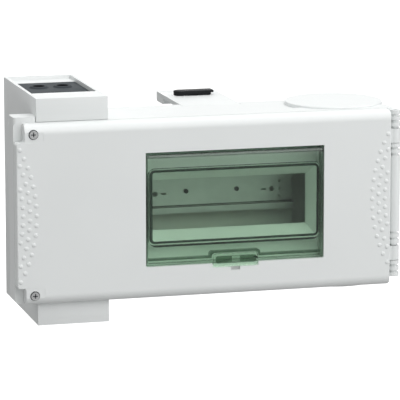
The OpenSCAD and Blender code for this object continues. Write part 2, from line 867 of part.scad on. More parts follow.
// Membrane grommets for the upper gland plate
module plate_grommets() {
    neck_r = grommet_d / 2 - fit;
    inner_r = neck_r - grommet_wall;
    rim_z = recess_floor + grommet_rise;
    low_z = plate_low - grommet_drop;
    dip_z = low_z + membrane_t;
    color(black_plastic)
    for (s = [-1, 1])
        translate([col_mid + s * grommet_gap / 2, grommet_y, 0])
            rotate_extrude() polygon([
                [0, dip_z], [inner_r, dip_z + membrane_dip], [inner_r, rim_z], [neck_r, rim_z],
                [neck_r + grommet_flange, recess_floor], [neck_r, recess_floor], [neck_r, plate_low],
                [neck_r + grommet_barb, plate_low], [neck_r - grommet_barb, low_z], [0, low_z]]);
}

module upper_gland_plate() {
    gland_plate();
}

module lower_gland_plate() {
    mirror([0, 0, 1]) gland_plate();
}

module upper_grommets() {
    plate_grommets();
}

module lower_grommets() {
    mirror([0, 0, 1]) plate_grommets();
}

// Blanking cap for the upper round entry
module entry_cap() {
    plug_r = entry_r - slip;
    color(white_plastic)
    translate([boss_x, boss_y, half_h]) {
        rotate_extrude() {
            square([cap_r, cap_t - cap_edge_r]);
            square([cap_r - cap_edge_r, cap_t]);
            translate([cap_r - cap_edge_r, cap_t - cap_edge_r]) circle(cap_edge_r);
        }
        translate([0, 0, -cap_plug_l]) difference() {
            cylinder(r = plug_r, h = cap_plug_l);
            translate([0, 0, -lap]) cylinder(r = plug_r - wall, h = cap_plug_l + lap);
        }
    }
}

module upper_entry_cap() {
    entry_cap();
}

module lower_entry_cap() {
    mirror([0, 0, 1]) entry_cap();
}

// Side view of the hook arm in Y and Z: thin root, turned-down end
module arm_section() {
    translate([arm_root_y, arm_low]) square([arm_reach - arm_root_y, arm_t]);
    difference() {
        translate([hook_y, arm_top - hook_h]) square([hook_l, hook_h]);
        translate([hook_y, arm_top - hook_h]) corner_cut(hook_r);
        translate([arm_reach, arm_top - hook_h]) mirror([1, 0]) corner_cut(hook_r);
    }
}

module hook_arm() {
    color(white_plastic)
    difference() {
        along_x(-arm_w / 2, arm_w) arm_section();
        translate([latch_x - stem_w / 2 - slip, slot_front_y, arm_low - lap])
            cube([stem_w + 2 * slip, slot_l, arm_t + 2 * lap]);
        for (s = [-1, 1])
            translate([s * arm_screw_x, arm_screw_y, arm_low - lap])
                cylinder(r = arm_screw_r + fit, h = arm_t - arm_skin + lap);
    }
}

module arm_screws() {
    color(steel)
    for (s = [-1, 1])
        translate([s * arm_screw_x, arm_screw_y, arm_low - arm_pad_t])
            rotate([90, 0, 0]) pan_screw(small_head_r, small_head_h, arm_screw_r, arm_screw_l);
}

module arm_latch() {
    color(black_plastic) {
        translate([latch_x - latch_w / 2, 0, 0]) difference() {
            union() {
                translate([latch_l / 2, latch_y, arm_top + slip])
                    cube([latch_w - latch_l / 2, latch_l, latch_h]);
                translate([latch_l / 2, latch_y + latch_l / 2, arm_top + slip])
                    cylinder(d = latch_l, h = latch_h);
            }
            translate([latch_w - latch_step, latch_y - lap, arm_top + slip - lap])
                cube([latch_step + lap, latch_l + 2 * lap, latch_h / 2 + lap]);
        }
        translate([latch_x - stem_w / 2, stem_y, arm_low - slip - lap])
            cube([stem_w, stem_l, arm_t + 2 * slip + 2 * lap]);
        translate([latch_x - foot_w / 2, foot_y, arm_low - slip - foot_h])
            cube([foot_w, foot_l, foot_h]);
    }
}

// Section of the mounting rail in Y and Z: two flanges, two sides and a web
module rail_section() {
    outer = rail_web_h / 2;
    inner = outer - rail_t;
    edge = rail_h / 2;
    half = [[rail_y, edge], [rail_y, inner], [web_y - rail_t, inner]];
    back = [[web_y, outer], [rail_y + rail_t, outer], [rail_y + rail_t, edge]];
    below = function(points) [for (i = [len(points) - 1 : -1 : 0]) [points[i][0], -points[i][1]]];
    polygon(concat(half, below(half), below(back), back));
}

// Places of the rail's screws, drawn rearwards from a depth
module at_rail_screws(y) {
    for (s = [-1, 1])
        translate([rail_screw_x + s * rail_screw_gap / 2, y, rail_screw_z]) facing_rear() children();
}

// Holes near one end of the rail's web: a round hole, a slot inside it and three nicks outside it
module rail_end_holes() {
    translate([rail_hole_gap / 2, 0]) {
        circle(d = rail_hole_d);
        translate([-rail_slot_in, 0]) square([rail_slot_w, rail_slot_h], center = true);
        for (i = [-1 : 1])
            translate([rail_nick_out, i * rail_nick_out]) square(rail_nick, center = true);
    }
}

module din_rail() {
    color(steel)
    difference() {
        along_x(-rail_l / 2, rail_l) rail_section();
        at_rail_screws(rail_y) cylinder(r = rail_screw_r + fit, h = rail_d + lap);
        along_y(rail_y + lap, rail_d) {
            rail_end_holes();
            mirror([1, 0]) rail_end_holes();
        }
    }
}

module rail_screws() {
    color(steel)
    for (s = [-1, 1])
        translate([rail_screw_x + s * rail_screw_gap / 2, web_y - rail_t, rail_screw_z])
            pan_screw(rail_head_r, rail_head_h, rail_screw_r, rail_t + rail_screw_grip);
}

// Drilled connection bar with its terminals, above the rail or below it
module connection_bar(side) {
    color(brass)
    difference() {
        translate([-bar_l / 2, bar_y - bar_s, side * bar_z - bar_s / 2]) cube([bar_l, bar_s, bar_s]);
        for (i = [0 : terminals - 1])
            translate([(i - (terminals - 1) / 2) * terminal_pitch, 0, side * bar_z]) {
                translate([0, bar_y - bar_s / 2, -bar_s]) cylinder(r = cable_hole_r, h = 2 * bar_s);
                translate([0, bar_y - bar_s - lap, 0])
                    facing_rear() cylinder(r = terminal_r + fit, h = bar_s / 2 + lap);
            }
    }
}

module neutral_bar() {
    connection_bar(1);
}

module earth_bar() {
    connection_bar(-1);
}

module bar_supports() {
    color(dark_plastic)
    for (sx = [-1, 1], sz = [-1, 1])
        translate([sx * bar_support_x - bar_support_w / 2, bar_y, sz * bar_z - bar_support_h / 2])
            cube([bar_support_w, bar_stand, bar_support_h]);
}

module terminal_screws() {
    color(steel)
    for (side = [-1, 1], i = [0 : terminals - 1])
        translate([(i - (terminals - 1) / 2) * terminal_pitch, bar_y - bar_s, side * bar_z])
            pan_screw(terminal_head_r, terminal_head_h, terminal_r, terminal_l);
}

module hinge_pins() {
    color(steel)
    for (top = hinge_tops)
        translate([axis_x, axis_y, top - hinge_h + pin_floor])
            cylinder(d = pin_d, h = hinge_h - pin_floor - pin_sink);
}

module cover_gasket() {
    color(dark_plastic)
    along_y(skirt_y + slip, seam - slip) difference() {
        cover_outline(gasket_inset);
        cover_outline(wall - gasket_inset);
    }
}

module screw_receivers() {
    color(brass)
    both_ends() translate([screw_x, rim_y, screw_z]) facing_rear()
        difference() {
            cylinder(r = sleeve_r, h = sleeve_l);
            translate([0, 0, -lap]) cylinder(r = sleeve_bore_r, h = screw_len);
        }
}

module column_screws() {
    color(steel)
    for (sx = [-1, 1], sz = [-1, 1])
        translate([col_mid + sx * col_screw_x, rim_back_y - wall, sz * col_screw_z])
            pan_screw(col_head_r, col_head_h, col_screw_r, wall + col_boss_l);
}

base_shell();
cable_column();
upper_gland_plate();
lower_gland_plate();
upper_grommets();
lower_grommets();
upper_entry_cap();
lower_entry_cap();
hook_arm();
arm_screws();
din_rail();
rail_screws();
neutral_bar();
earth_bar();
bar_supports();
terminal_screws();
hinge_pins();
cover_gasket();
screw_receivers();
column_screws();
front_cover();
fascia();
fascia_screws();
cover_screws();
screw_retainers();
window_flap();
arm_latch();
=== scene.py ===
"""Visual model of an electrical distribution box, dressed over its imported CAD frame."""

import logging
import math
from dataclasses import dataclass
from enum import Enum
from typing import Sequence

import bmesh
import bpy
from mathutils import Matrix, Vector


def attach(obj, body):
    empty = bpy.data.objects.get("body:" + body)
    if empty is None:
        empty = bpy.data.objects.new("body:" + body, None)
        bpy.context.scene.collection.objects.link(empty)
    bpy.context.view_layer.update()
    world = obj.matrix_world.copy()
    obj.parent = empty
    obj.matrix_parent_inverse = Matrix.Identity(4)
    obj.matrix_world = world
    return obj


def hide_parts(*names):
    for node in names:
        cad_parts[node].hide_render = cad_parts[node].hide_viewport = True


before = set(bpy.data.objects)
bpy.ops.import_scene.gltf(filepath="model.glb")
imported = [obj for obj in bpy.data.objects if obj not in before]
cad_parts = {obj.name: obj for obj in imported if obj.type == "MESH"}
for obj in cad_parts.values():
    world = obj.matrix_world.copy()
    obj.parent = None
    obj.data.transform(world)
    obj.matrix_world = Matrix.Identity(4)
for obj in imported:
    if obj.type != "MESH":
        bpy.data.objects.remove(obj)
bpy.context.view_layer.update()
LOG = logging.getLogger("distribution_box")

Point = tuple[float, float, float]
Colour = tuple[float, float, float]
Socket = bpy.types.NodeSocket

MM = 0.001
ORIGIN: Point = (0.0, 0.0, 0.0)
# The way that the cover's face looks
OUTWARD: Point = (0.0, -1.0, 0.0)
# Edges that turn further than this stay crisp
SHARP = math.radians(32)
# Steps in each rounded corner
CORNER_STEPS = 6
# Face mask of the flap: its painted light and shade, lighter below 0 and darker above it
PAINTED_LIGHT_MASK = "edge_tint"


class Body(Enum):
    """The moving bodies that pieces ride on."""

    HOUSING = "housing"
    COVER = "cover"
    FLAP = "flap"
    LATCH = "latch"


class Slot(Enum):
    """The material slots of the record."""

    WHITE = "white_plastic"
    DARK = "dark_plastic"
    BLACK = "black_plastic"
    RUBBER = "rubber"
    SEAL = "pale_rubber"
    WINDOW = "green_window"
    STEEL = "steel"
    BLACKENED = "dark_steel"
    ZINC = "zinc"
    BRASS = "brass"


class Graph:
    """A node tree with short calls that add and join its nodes."""

    # The range that a noise mostly stays in
    NOISE_REACH = (0.3, 0.7)

    def __init__(self, tree: bpy.types.NodeTree) -> None:
        """Keeps the tree that the nodes go into."""
        self.tree = tree

    def add(self, kind: str, inputs: dict[int | str, object] | None = None,
            **settings: object) -> bpy.types.Node:
        """Adds one node.

        Args:
            kind: The node's type.
            inputs: A value or an output socket for each named or numbered input.
            settings: Properties of the node itself.

        Returns:
            The new node.
        """
        node = self.tree.nodes.new(kind)
        for key, value in settings.items():
            setattr(node, key, value)
        for key, value in (inputs or {}).items():
            self.feed(node, key, value)
        return node

    def feed(self, node: bpy.types.Node, key: int | str, value: object) -> None:
        """Links an output socket to an input, or sets the input's own value.

        Args:
            node: The node that is fed.
            key: The input's name or number.
            value: The socket or the value.
        """
        if isinstance(value, Socket):
            self.tree.links.new(value, node.inputs[key])
        else:
            node.inputs[key].default_value = value

    def math(self, operation: str, first: object, second: object) -> Socket:
        """Adds a math node and returns its result."""
        return self.add("ShaderNodeMath", {0: first, 1: second}, operation=operation).outputs[0]

    def away(self, value: Socket, middle: float) -> Socket:
        """Returns how far a value lies from a middle."""
        return self.math("ABSOLUTE", self.math("SUBTRACT", value, middle), 0.0)

    def ramp(self, value: Socket, start: float, end: float, low: object = 0.0, high: object = 1.0) -> Socket:
        """Maps a value from the range start to end onto low to high and returns it."""
        return self.add("ShaderNodeMapRange", {"Value": value, "From Min": start, "From Max": end,
                                               "To Min": low, "To Max": high}).outputs[0]

    def waver(self, noise: bpy.types.Node, middle: object, spread: Socket) -> Socket:
        """Lets a value waver about its middle with a noise and returns it."""
        low, high = (self.math(operation, middle, spread) for operation in ("SUBTRACT", "ADD"))
        return self.ramp(noise.outputs["Fac"], *self.NOISE_REACH, low, high)

    def mix(self, share: Socket, first: object, second: object) -> Socket:
        """Mixes two colours, which are inputs 6 and 7 of the node, and returns the result."""
        return self.add("ShaderNodeMix", {"Factor": share, 6: first, 7: second}, data_type="RGBA").outputs[2]

    def seen(self, *bounces: str) -> Socket:
        """Picks out the rays that show the surroundings to the eye, in gloss and through glass too.

        Args:
            bounces: The kinds of bounce, such as Diffuse, after which a ray only brings light.

        Returns:
            The share, which is 1 or 0.
        """
        path = self.add("ShaderNodeLightPath").outputs
        share = path["Is Camera Ray"]
        for ray in ("Is Glossy Ray", "Is Transmission Ray"):
            share = self.math("MAXIMUM", share, path[ray])
        for bounce in bounces:
            share = self.math("MULTIPLY", share, self.math("LESS_THAN", path[f"{bounce} Depth"], 0.5))
        return share

    def scatter(self, result: bpy.types.Node, points: Socket, shape: Socket, material: Socket) -> None:
        """Sets copies of a shape on points, makes them real, dresses them and sends them to the result.

        Args:
            result: The tree's output node.
            points: The points.
            shape: The object that is copied.
            material: The copies' material.
        """
        source = self.add("GeometryNodeObjectInfo", {"Object": shape}).outputs["Geometry"]
        placed = self.add("GeometryNodeInstanceOnPoints", {"Points": points, "Instance": source})
        real = self.add("GeometryNodeRealizeInstances", {"Geometry": placed.outputs[0]})
        dressed = self.add("GeometryNodeSetMaterial", {"Geometry": real.outputs[0], "Material": material})
        self.feed(result, "Geometry", dressed.outputs[0])

    @classmethod
    def group(cls, kind: str, name: str, inputs: dict[str, tuple[str, object]],
              outputs: dict[str, str]) -> tuple["Graph", bpy.types.Node, bpy.types.Node]:
        """Makes a node group with named sockets.

        Args:
            kind: The tree's type.
            name: The group's name.
            inputs: The socket type and default of each input.
            outputs: The socket type of each output.

        Returns:
            The graph and its input and output nodes.
        """
        tree = bpy.data.node_groups.new(name, kind)
        if kind == "GeometryNodeTree":
            tree.is_modifier = True
        for label, (socket, default) in inputs.items():
            item = tree.interface.new_socket(name=label, in_out="INPUT", socket_type=f"NodeSocket{socket}")
            if default is not None:
                item.default_value = default
        for label, socket in outputs.items():
            tree.interface.new_socket(name=label, in_out="OUTPUT", socket_type=f"NodeSocket{socket}")
        graph = cls(tree)
        return graph, graph.add("NodeGroupInput"), graph.add("NodeGroupOutput")


class Effects:
    """The shader groups that several finishes share, each built once."""

    def __init__(self) -> None:
        """Builds the three groups."""
        self.grain = self._grain()
        self.drift = self._drift()
        self.brushing = self._brushing()

    @staticmethod
    def _grain() -> bpy.types.NodeTree:
        """Builds the fine spark-eroded grain of a mould: an uneven gloss and a height.

        Returns:
            The group's tree.
        """
        graph, given, result = Graph.group(
            "ShaderNodeTree", "Moulded Grain",
            {"Vector": ("Vector", None), "Scale": ("Float", 2400.0), "Roughness": ("Float", 0.4),
             "Spread": ("Float", 0.05)},
            {"Roughness": "Float", "Height": "Float"})
        socket = given.outputs
        fine = graph.add("ShaderNodeTexNoise", {"Vector": socket["Vector"], "Scale": socket["Scale"],
                                                "Detail": 2.0, "Roughness": 0.55})
        wide = graph.add("ShaderNodeTexNoise", {"Vector": socket["Vector"], "Scale": 38.0, "Detail": 3.0})
        graph.feed(result, "Roughness", graph.waver(wide, socket["Roughness"], socket["Spread"]))
        graph.feed(result, "Height", fine.outputs["Fac"])
        return graph.tree

    @staticmethod
    def _drift() -> bpy.types.NodeTree:
        """Builds the slow drift of tone across a surface.

        Returns:
            The group's tree.
        """
        graph, given, result = Graph.group(
            "ShaderNodeTree", "Tone Drift",
            {"Vector": ("Vector", None), "Color": ("Color", (0.8, 0.8, 0.8, 1.0)), "Scale": ("Float", 9.0),
             "Amount": ("Float", 0.02)},
            {"Color": "Color"})
        socket = given.outputs
        noise = graph.add("ShaderNodeTexNoise", {"Vector": socket["Vector"], "Scale": socket["Scale"],
                                                 "Detail": 4.0})
        value = graph.waver(noise, 1.0, socket["Amount"])
        tone = graph.add("ShaderNodeHueSaturation", {"Color": socket["Color"], "Value": value})
        graph.feed(result, "Color", tone.outputs["Color"])
        return graph.tree

    @staticmethod
    def _brushing() -> bpy.types.NodeTree:
        """Builds the drawn streaks of plated or machined metal.

        Returns:
            The group's tree.
        """
        graph, given, result = Graph.group(
            "ShaderNodeTree", "Metal Brushing",
            {"Vector": ("Vector", None), "Stretch": ("Vector", (60.0, 900.0, 900.0)),
             "Roughness": ("Float", 0.3), "Spread": ("Float", 0.08)},
            {"Roughness": "Float", "Height": "Float"})
        socket = given.outputs
        drawn = graph.add("ShaderNodeVectorMath", {0: socket["Vector"], 1: socket["Stretch"]},
                          operation="MULTIPLY")
        noise = graph.add("ShaderNodeTexNoise", {"Vector": drawn.outputs[0], "Scale": 1.0, "Detail": 3.0})
        graph.feed(result, "Roughness", graph.waver(noise, socket["Roughness"], socket["Spread"]))
        graph.feed(result, "Height", noise.outputs["Fac"])
        return graph.tree


class Paint(Graph):
    """A material's node tree with its output and object coordinates."""

    BUMP_DEPTH = 0.1 * MM

    def __init__(self, name: str) -> None:
        """Makes an empty material.

        Args:
            name: The material's name.
        """
        self.material = bpy.data.materials.new(name)
        self.material.use_nodes = True
        super().__init__(self.material.node_tree)
        self.tree.nodes.clear()
        self.place = self.add("ShaderNodeTexCoord").outputs["Object"]

    def bumped(self, height: Socket, strength: float) -> Socket:
        """Turns a height into a normal and returns it."""
        return self.add("ShaderNodeBump", {"Strength": strength, "Distance": self.BUMP_DEPTH,
                                           "Height": height}).outputs["Normal"]

    def cover(self, shader: bpy.types.Node) -> bpy.types.Material:
        """Sends a shader to the output and returns the material."""
        self.add("ShaderNodeOutputMaterial", {"Surface": shader.outputs[0]})
        return self.material


@dataclass(frozen=True)
class MouldedFinish:
    """A moulded plastic or rubber surface."""

    slot: Slot
    colour: Colour
    roughness: float
    spread: float
    drift: float
    grain: float
    bump: float
    ior: float = 1.46

    def tint(self, paint: Paint) -> object:
        """Gives the colour before its drift."""
        return (*self.colour, 1.0)

    def material(self, effects: Effects) -> bpy.types.Material:
        """Builds the material from the shared grain and tone groups.

        Args:
            effects: The shared groups.

        Returns:
            The material.
        """
        paint = Paint(f"{self.slot.value}_finish")
        tone = paint.add("ShaderNodeGroup", {"Vector": paint.place, "Color": self.tint(paint),
                                             "Amount": self.drift}, node_tree=effects.drift)
        grain = paint.add("ShaderNodeGroup", {
            "Vector": paint.place, "Scale": self.grain, "Roughness": self.roughness, "Spread": self.spread},
            node_tree=effects.grain)
        shader = paint.add("ShaderNodeBsdfPrincipled", {
            "Base Color": tone.outputs["Color"], "Roughness": grain.outputs["Roughness"],
            "Normal": paint.bumped(grain.outputs["Height"], self.bump), "IOR": self.ior})
        return paint.cover(shader)


@dataclass(frozen=True)
class GrommetFinish(MouldedFinish):
    """Soft rubber with painted shade: darkest in the middle of each of the column's grommets, where its
    recess lies in shade.
    """

    flange: Colour = (0.046, 0.054, 0.060)
    middle: tuple[float, float] = (-145.95 * MM, 10.25 * MM)
    gap: float = 22.0 * MM
    painted_shade_reach: tuple[float, float] = (5.4 * MM, 6.2 * MM)

    def tint(self, paint: Paint) -> Socket:
        """Mixes the painted shade of the grommet's middle into the flange's colour by the way to the nearer
        grommet's axis.

        Args:
            paint: The material's tree.

        Returns:
            The colour before its drift.
        """
        place = paint.add("ShaderNodeSeparateXYZ", {0: paint.place}).outputs
        spot = paint.add("ShaderNodeCombineXYZ", {
            "X": paint.math("SUBTRACT", paint.away(place["X"], self.middle[0]), self.gap / 2),
            "Y": paint.math("SUBTRACT", place["Y"], self.middle[1])})
        away = paint.add("ShaderNodeVectorMath", {0: spot.outputs[0]}, operation="LENGTH").outputs["Value"]
        return paint.mix(paint.ramp(away, *self.painted_shade_reach), (*self.colour, 1.0), (*self.flange, 1.0))


@dataclass(frozen=True)
class MetalFinish:
    """A plated or machined metal surface, which may have a painted line of shade along the crease of a bend.
    """

    slot: Slot
    colour: Colour
    roughness: float
    spread: float
    stretch: Point
    painted_crease: float | None = None
    painted_crease_width: tuple[float, float] = (0.3 * MM, 0.7 * MM)
    painted_crease_colour: Colour = (0.08, 0.08, 0.08)
    bump: float = 0.12

    def material(self, effects: Effects) -> bpy.types.Material:
        """Builds the material from the shared brushing and tone groups.

        Args:
            effects: The shared groups.

        Returns:
            The material.
        """
        paint = Paint(f"{self.slot.value}_finish")
        colour = paint.add("ShaderNodeGroup", {
            "Vector": paint.place, "Color": (*self.colour, 1.0), "Scale": 60.0, "Amount": 0.05},
            node_tree=effects.drift).outputs["Color"]
        brushed = paint.add("ShaderNodeGroup", {
            "Vector": paint.place, "Stretch": self.stretch, "Roughness": self.roughness,
            "Spread": self.spread}, node_tree=effects.brushing)
        # Paints a dark line of shade along the crease at the given height.
        if self.painted_crease is not None:
            height = paint.add("ShaderNodeSeparateXYZ", {0: paint.place}).outputs["Z"]
            share = paint.ramp(paint.away(height, self.painted_crease), *self.painted_crease_width)
            colour = paint.mix(share, (*self.painted_crease_colour, 1.0), colour)
        shader = paint.add("ShaderNodeBsdfPrincipled", {
            "Base Color": colour, "Roughness": brushed.outputs["Roughness"],
            "Normal": paint.bumped(brushed.outputs["Height"], self.bump), "Metallic": 1.0})
        return paint.cover(shader)


@dataclass(frozen=True)
class GlazingFinish:
    """A clear tinted plastic with painted light and shade: a painted lighter glint on some faces, and painted
    dark lines where a wall is seen edge on, partly also the longer way through the tint.
    """

    slot: Slot
    clear: Colour
    pale: Colour
    edge: Colour
    line: Colour
    shade: Colour
    roughness: float
    pale_mark: float = -0.5
    edge_mark: float = 0.9
    line_mark: float = 1.0
    ior: float = 1.49

    def material(self, effects: Effects) -> bpy.types.Material:
        """Builds the glazing, which lets lamps through with its tint.

        Args:
            effects: The shared groups.

        Returns:
            The material.
        """
        paint = Paint(f"{self.slot.value}_finish")
        tint = paint.add("ShaderNodeGroup", {"Vector": paint.place, "Color": (*self.clear, 1.0),
                                             "Amount": 0.015}, node_tree=effects.drift).outputs["Color"]
        # Mixes in the painted lighter glint and the painted dark edge lines by the face mask; the plain tint
        # is the clear colour.
        painted_mask = paint.add("ShaderNodeAttribute", attribute_name=PAINTED_LIGHT_MASK).outputs["Fac"]
        for colour, start, full in ((self.pale, 0.0, self.pale_mark), (self.edge, 0.0, self.edge_mark),
                                    (self.line, self.edge_mark, self.line_mark)):
            tint = paint.mix(paint.ramp(painted_mask, start, full), tint, (*colour, 1.0))
        shader = paint.add("ShaderNodeBsdfPrincipled", {
            "Base Color": tint, "Roughness": self.roughness, "Transmission Weight": 1.0, "IOR": self.ior})
        clear = paint.add("ShaderNodeBsdfTransparent", {"Color": (*self.shade, 1.0)})
        path = paint.add("ShaderNodeLightPath")
        return paint.cover(paint.add("ShaderNodeMixShader", {
            0: path.outputs["Is Shadow Ray"], 1: shader.outputs[0], 2: clear.outputs[0]}))


class Palette:
    """Every finish of the box, as materials by slot."""

    FINISHES = (
        MouldedFinish(Slot.WHITE, (0.777, 0.80, 0.796), roughness=0.42, spread=0.05, drift=0.012,
                      grain=2400.0, bump=0.10),
        MouldedFinish(Slot.DARK, (0.046, 0.055, 0.061), roughness=0.58, spread=0.06, drift=0.05,
                      grain=1900.0, bump=0.16, ior=1.2),
        MouldedFinish(Slot.BLACK, (0.007, 0.008, 0.009), roughness=0.5, spread=0.06, drift=0.08,
                      grain=2100.0, bump=0.14, ior=1.25),
        # The rubber's colour is the painted shade in each grommet's middle; the flange colour is the rubber
        # round it.
        GrommetFinish(Slot.RUBBER, (0.008, 0.009, 0.011), roughness=0.66, spread=0.06, drift=0.06,
                      grain=1400.0, bump=0.2, ior=1.2),
        MouldedFinish(Slot.SEAL, (0.64, 0.65, 0.64), roughness=0.6, spread=0.06, drift=0.03,
                      grain=1400.0, bump=0.15),
        MetalFinish(Slot.STEEL, (0.64, 0.65, 0.65), roughness=0.34, spread=0.07,
                    stretch=(700.0, 700.0, 700.0)),
        MetalFinish(Slot.BLACKENED, (0.05, 0.053, 0.056), roughness=0.42, spread=0.08,
                    stretch=(700.0, 700.0, 700.0)),
        # The rail's zinc has a painted line of shade along the crease of its bend.
        MetalFinish(Slot.ZINC, (0.66, 0.67, 0.68), roughness=0.38, spread=0.09,
                    stretch=(40.0, 900.0, 900.0), painted_crease=-11.5 * MM),
        MetalFinish(Slot.BRASS, (0.72, 0.55, 0.27), roughness=0.3, spread=0.08,
                    stretch=(60.0, 800.0, 800.0)),
        # The glazing's pale colour is a painted highlight, its edge and line colours painted shade.
        GlazingFinish(Slot.WINDOW, clear=(0.66, 0.80, 0.68), pale=(0.88, 0.93, 0.89), edge=(0.12, 0.18, 0.14),
                      line=(0.004, 0.008, 0.006), shade=(0.91, 0.99, 0.92), roughness=0.03),
    )

    def __init__(self) -> None:
        """Builds the groups and then each material."""
        effects = Effects()
        self.by_slot = {finish.slot: finish.material(effects) for finish in self.FINISHES}

    def dress(self, slot: Slot, *nodes: str) -> None:
        """Puts a finish on CAD nodes, which keep their shapes.

        Args:
            slot: The finish's slot.
            nodes: The nodes.
        """
        for name in nodes:
            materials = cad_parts[name].data.materials
            materials.clear()
            materials.append(self.by_slot[slot])
            LOG.info("%s keeps its CAD shape in %s", name, slot.value)

    def mount(self, piece: bpy.types.Object, body: Body, slot: Slot, *nodes: str) -> None:
        """Puts a new piece on its body.

        Args:
            piece: The piece.
            body: The body that it rides on.
            slot: The slot that its finish stands for; not used.
            nodes: The CAD nodes that it stands for.
        """
        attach(piece, body.value)
        if nodes:
            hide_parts(*nodes)
        LOG.info("%s: %d faces on %s", piece.name, len(piece.data.polygons), body.value)


@dataclass(frozen=True)
class Outline:
    """A rounded rectangle in the XZ plane whose sides may lie at different depths."""

    left: float
    right: float
    low: float
    high: float
    low_radius: float
    high_radius: float
    side_y: float
    low_y: float
    high_y: float

    @classmethod
    def flat(cls, centre_x: float, width: float, low: float, high: float, radius: float,
             y: float) -> "Outline":
        """Makes an outline that lies in one plane."""
        return cls(centre_x - width / 2, centre_x + width / 2, low, high, radius, radius, y, y, y)

    def points(self) -> list[Point]:
        """Lists the points round the outline, with the same count for every outline.

        Returns:
            The points, from the middle of the low side towards the right.
        """
        low, high = self.low_radius, self.high_radius
        corners = (
            (self.right - low, self.low + low, low, -90.0, self.low_y, self.side_y),
            (self.right - high, self.high - high, high, 0.0, self.side_y, self.high_y),
            (self.left + high, self.high - high, high, 90.0, self.high_y, self.side_y),
            (self.left + low, self.low + low, low, 180.0, self.side_y, self.low_y))
        result = []
        for x, z, radius, start, first, last in corners:
            for step in range(CORNER_STEPS + 1):
                share = step / CORNER_STEPS
                angle = math.radians(start + 90.0 * share)
                result.append((x + radius * math.cos(angle), first + (last - first) * share,
                               z + radius * math.sin(angle)))
        return result


class Solid:
    """A closed mesh put together from lofted loops and turned profiles."""

    def __init__(self) -> None:
        """Starts an empty mesh with a face mask of painted light and shade, such as dark walls seen edge on.
        """
        self.bm = bmesh.new()
        self.tint = self.bm.faces.layers.float.new(PAINTED_LIGHT_MASK)

    def _face(self, verts: Sequence[bmesh.types.BMVert], tint: float) -> None:
        """Adds one face with its value of painted light and shade."""
        self.bm.faces.new(verts)[self.tint] = tint

    def loft(self, loops: Sequence[Sequence[Point]], painted_light: Sequence[float] | None = None) -> None:
        """Joins loops of one length with strips and closes both ends.

        Args:
            loops: The loops in order.
            painted_light: The mask of the first end, of each strip and of the last end.
        """
        # The values are painted light and shade on the glazing; 0 leaves a face plain.
        painted_light = painted_light or [0.0] * (len(loops) + 1)
        rows = [[self.bm.verts.new(point) for point in loop] for loop in loops]
        count = len(rows[0])
        self._face(rows[0], painted_light[0])
        for row, (near, far) in enumerate(zip(rows, rows[1:])):
            for i in range(count):
                j = (i + 1) % count
                self._face((near[i], near[j], far[j], far[i]), painted_light[row + 1])
        self._face(rows[-1], painted_light[-1])

    def limit_painted_light(self, low: float, high: float, most: float) -> None:
        """Keeps the mask of painted light and shade down on faces that lie between two heights.

        Args:
            low: The lower height.
            high: The upper height.
            most: The most that the mask may be there.
        """
        for face in self.bm.faces:
            if low < face.calc_center_median().z < high:
                face[self.tint] = min(face[self.tint], most)

    def turn(self, profile: Sequence[tuple[float, float]], centre: Point, axis: Point, segments: int,
             tint: float = 0.0) -> None:
        """Turns a profile about an axis.

        Args:
            profile: Radius and distance along the axis for each loop.
            centre: The point that distances are counted from.
            axis: The axis.
            segments: The number of segments round it.
            tint: The painted light and shade mask of its faces.
        """
        turned = Vector((0, 0, 1)).rotation_difference(Vector(axis)).to_matrix().to_4x4()
        place = Matrix.Translation(centre) @ turned
        loops = []
        for radius, height in profile:
            angles = (2 * math.pi * i / segments for i in range(segments))
            loops.append([tuple(place @ Vector((radius * math.cos(a), radius * math.sin(a), height)))
                          for a in angles])
        self.loft(loops, [tint] * (len(loops) + 1))

    def piece(self, name: str, material: bpy.types.Material) -> bpy.types.Object:
        """Turns the mesh into an object with outward faces.

        Args:
            name: The object's name.
            material: Its material.

        Returns:
            The object.
        """
        bmesh.ops.recalc_face_normals(self.bm, faces=self.bm.faces)
        mesh = bpy.data.meshes.new(name)
        self.bm.to_mesh(mesh)
        self.bm.free()
        return show(mesh, material)


def show(mesh: bpy.types.Mesh, material: bpy.types.Material) -> bpy.types.Object:
    """Links a mesh as an object with smooth curves and crisp edges.

    Args:
        mesh: The mesh.
        material: Its material.

    Returns:
        The object, named as the mesh.
    """
    mesh.materials.clear()
    mesh.materials.append(material)
    mesh.shade_smooth()
    mesh.set_sharp_from_angle(angle=SHARP)
    piece = bpy.data.objects.new(mesh.name, mesh)
    bpy.context.scene.collection.objects.link(piece)
    return piece


def grow(name: str, tree: bpy.types.NodeTree, values: dict[str, object],
         material: bpy.types.Material) -> bpy.types.Object:
    """Runs a geometry tree and keeps its result as a plain mesh.

    Args:
        name: The new piece's name.
        tree: The geometry tree.
        values: A value for each of the tree's named inputs but its material.
        material: The piece's material.

    Returns:
        The piece.
    """
    carrier = bpy.data.objects.new(f"{name}_carrier", bpy.data.meshes.new(f"{name}_carrier"))
    bpy.context.scene.collection.objects.link(carrier)
    modifier = carrier.modifiers.new(name, "NODES")
    modifier.node_group = tree
    values = {**values, "Material": material}
    for item in tree.interface.items_tree:
        if item.in_out == "INPUT":
            modifier[item.identifier] = values[item.name]
    graph = bpy.context.evaluated_depsgraph_get()
    mesh = bpy.data.meshes.new_from_object(carrier.evaluated_get(graph))
    carrier.modifiers.remove(modifier)
    bpy.data.objects.remove(carrier)
    mesh.name = name
    return show(mesh, material)


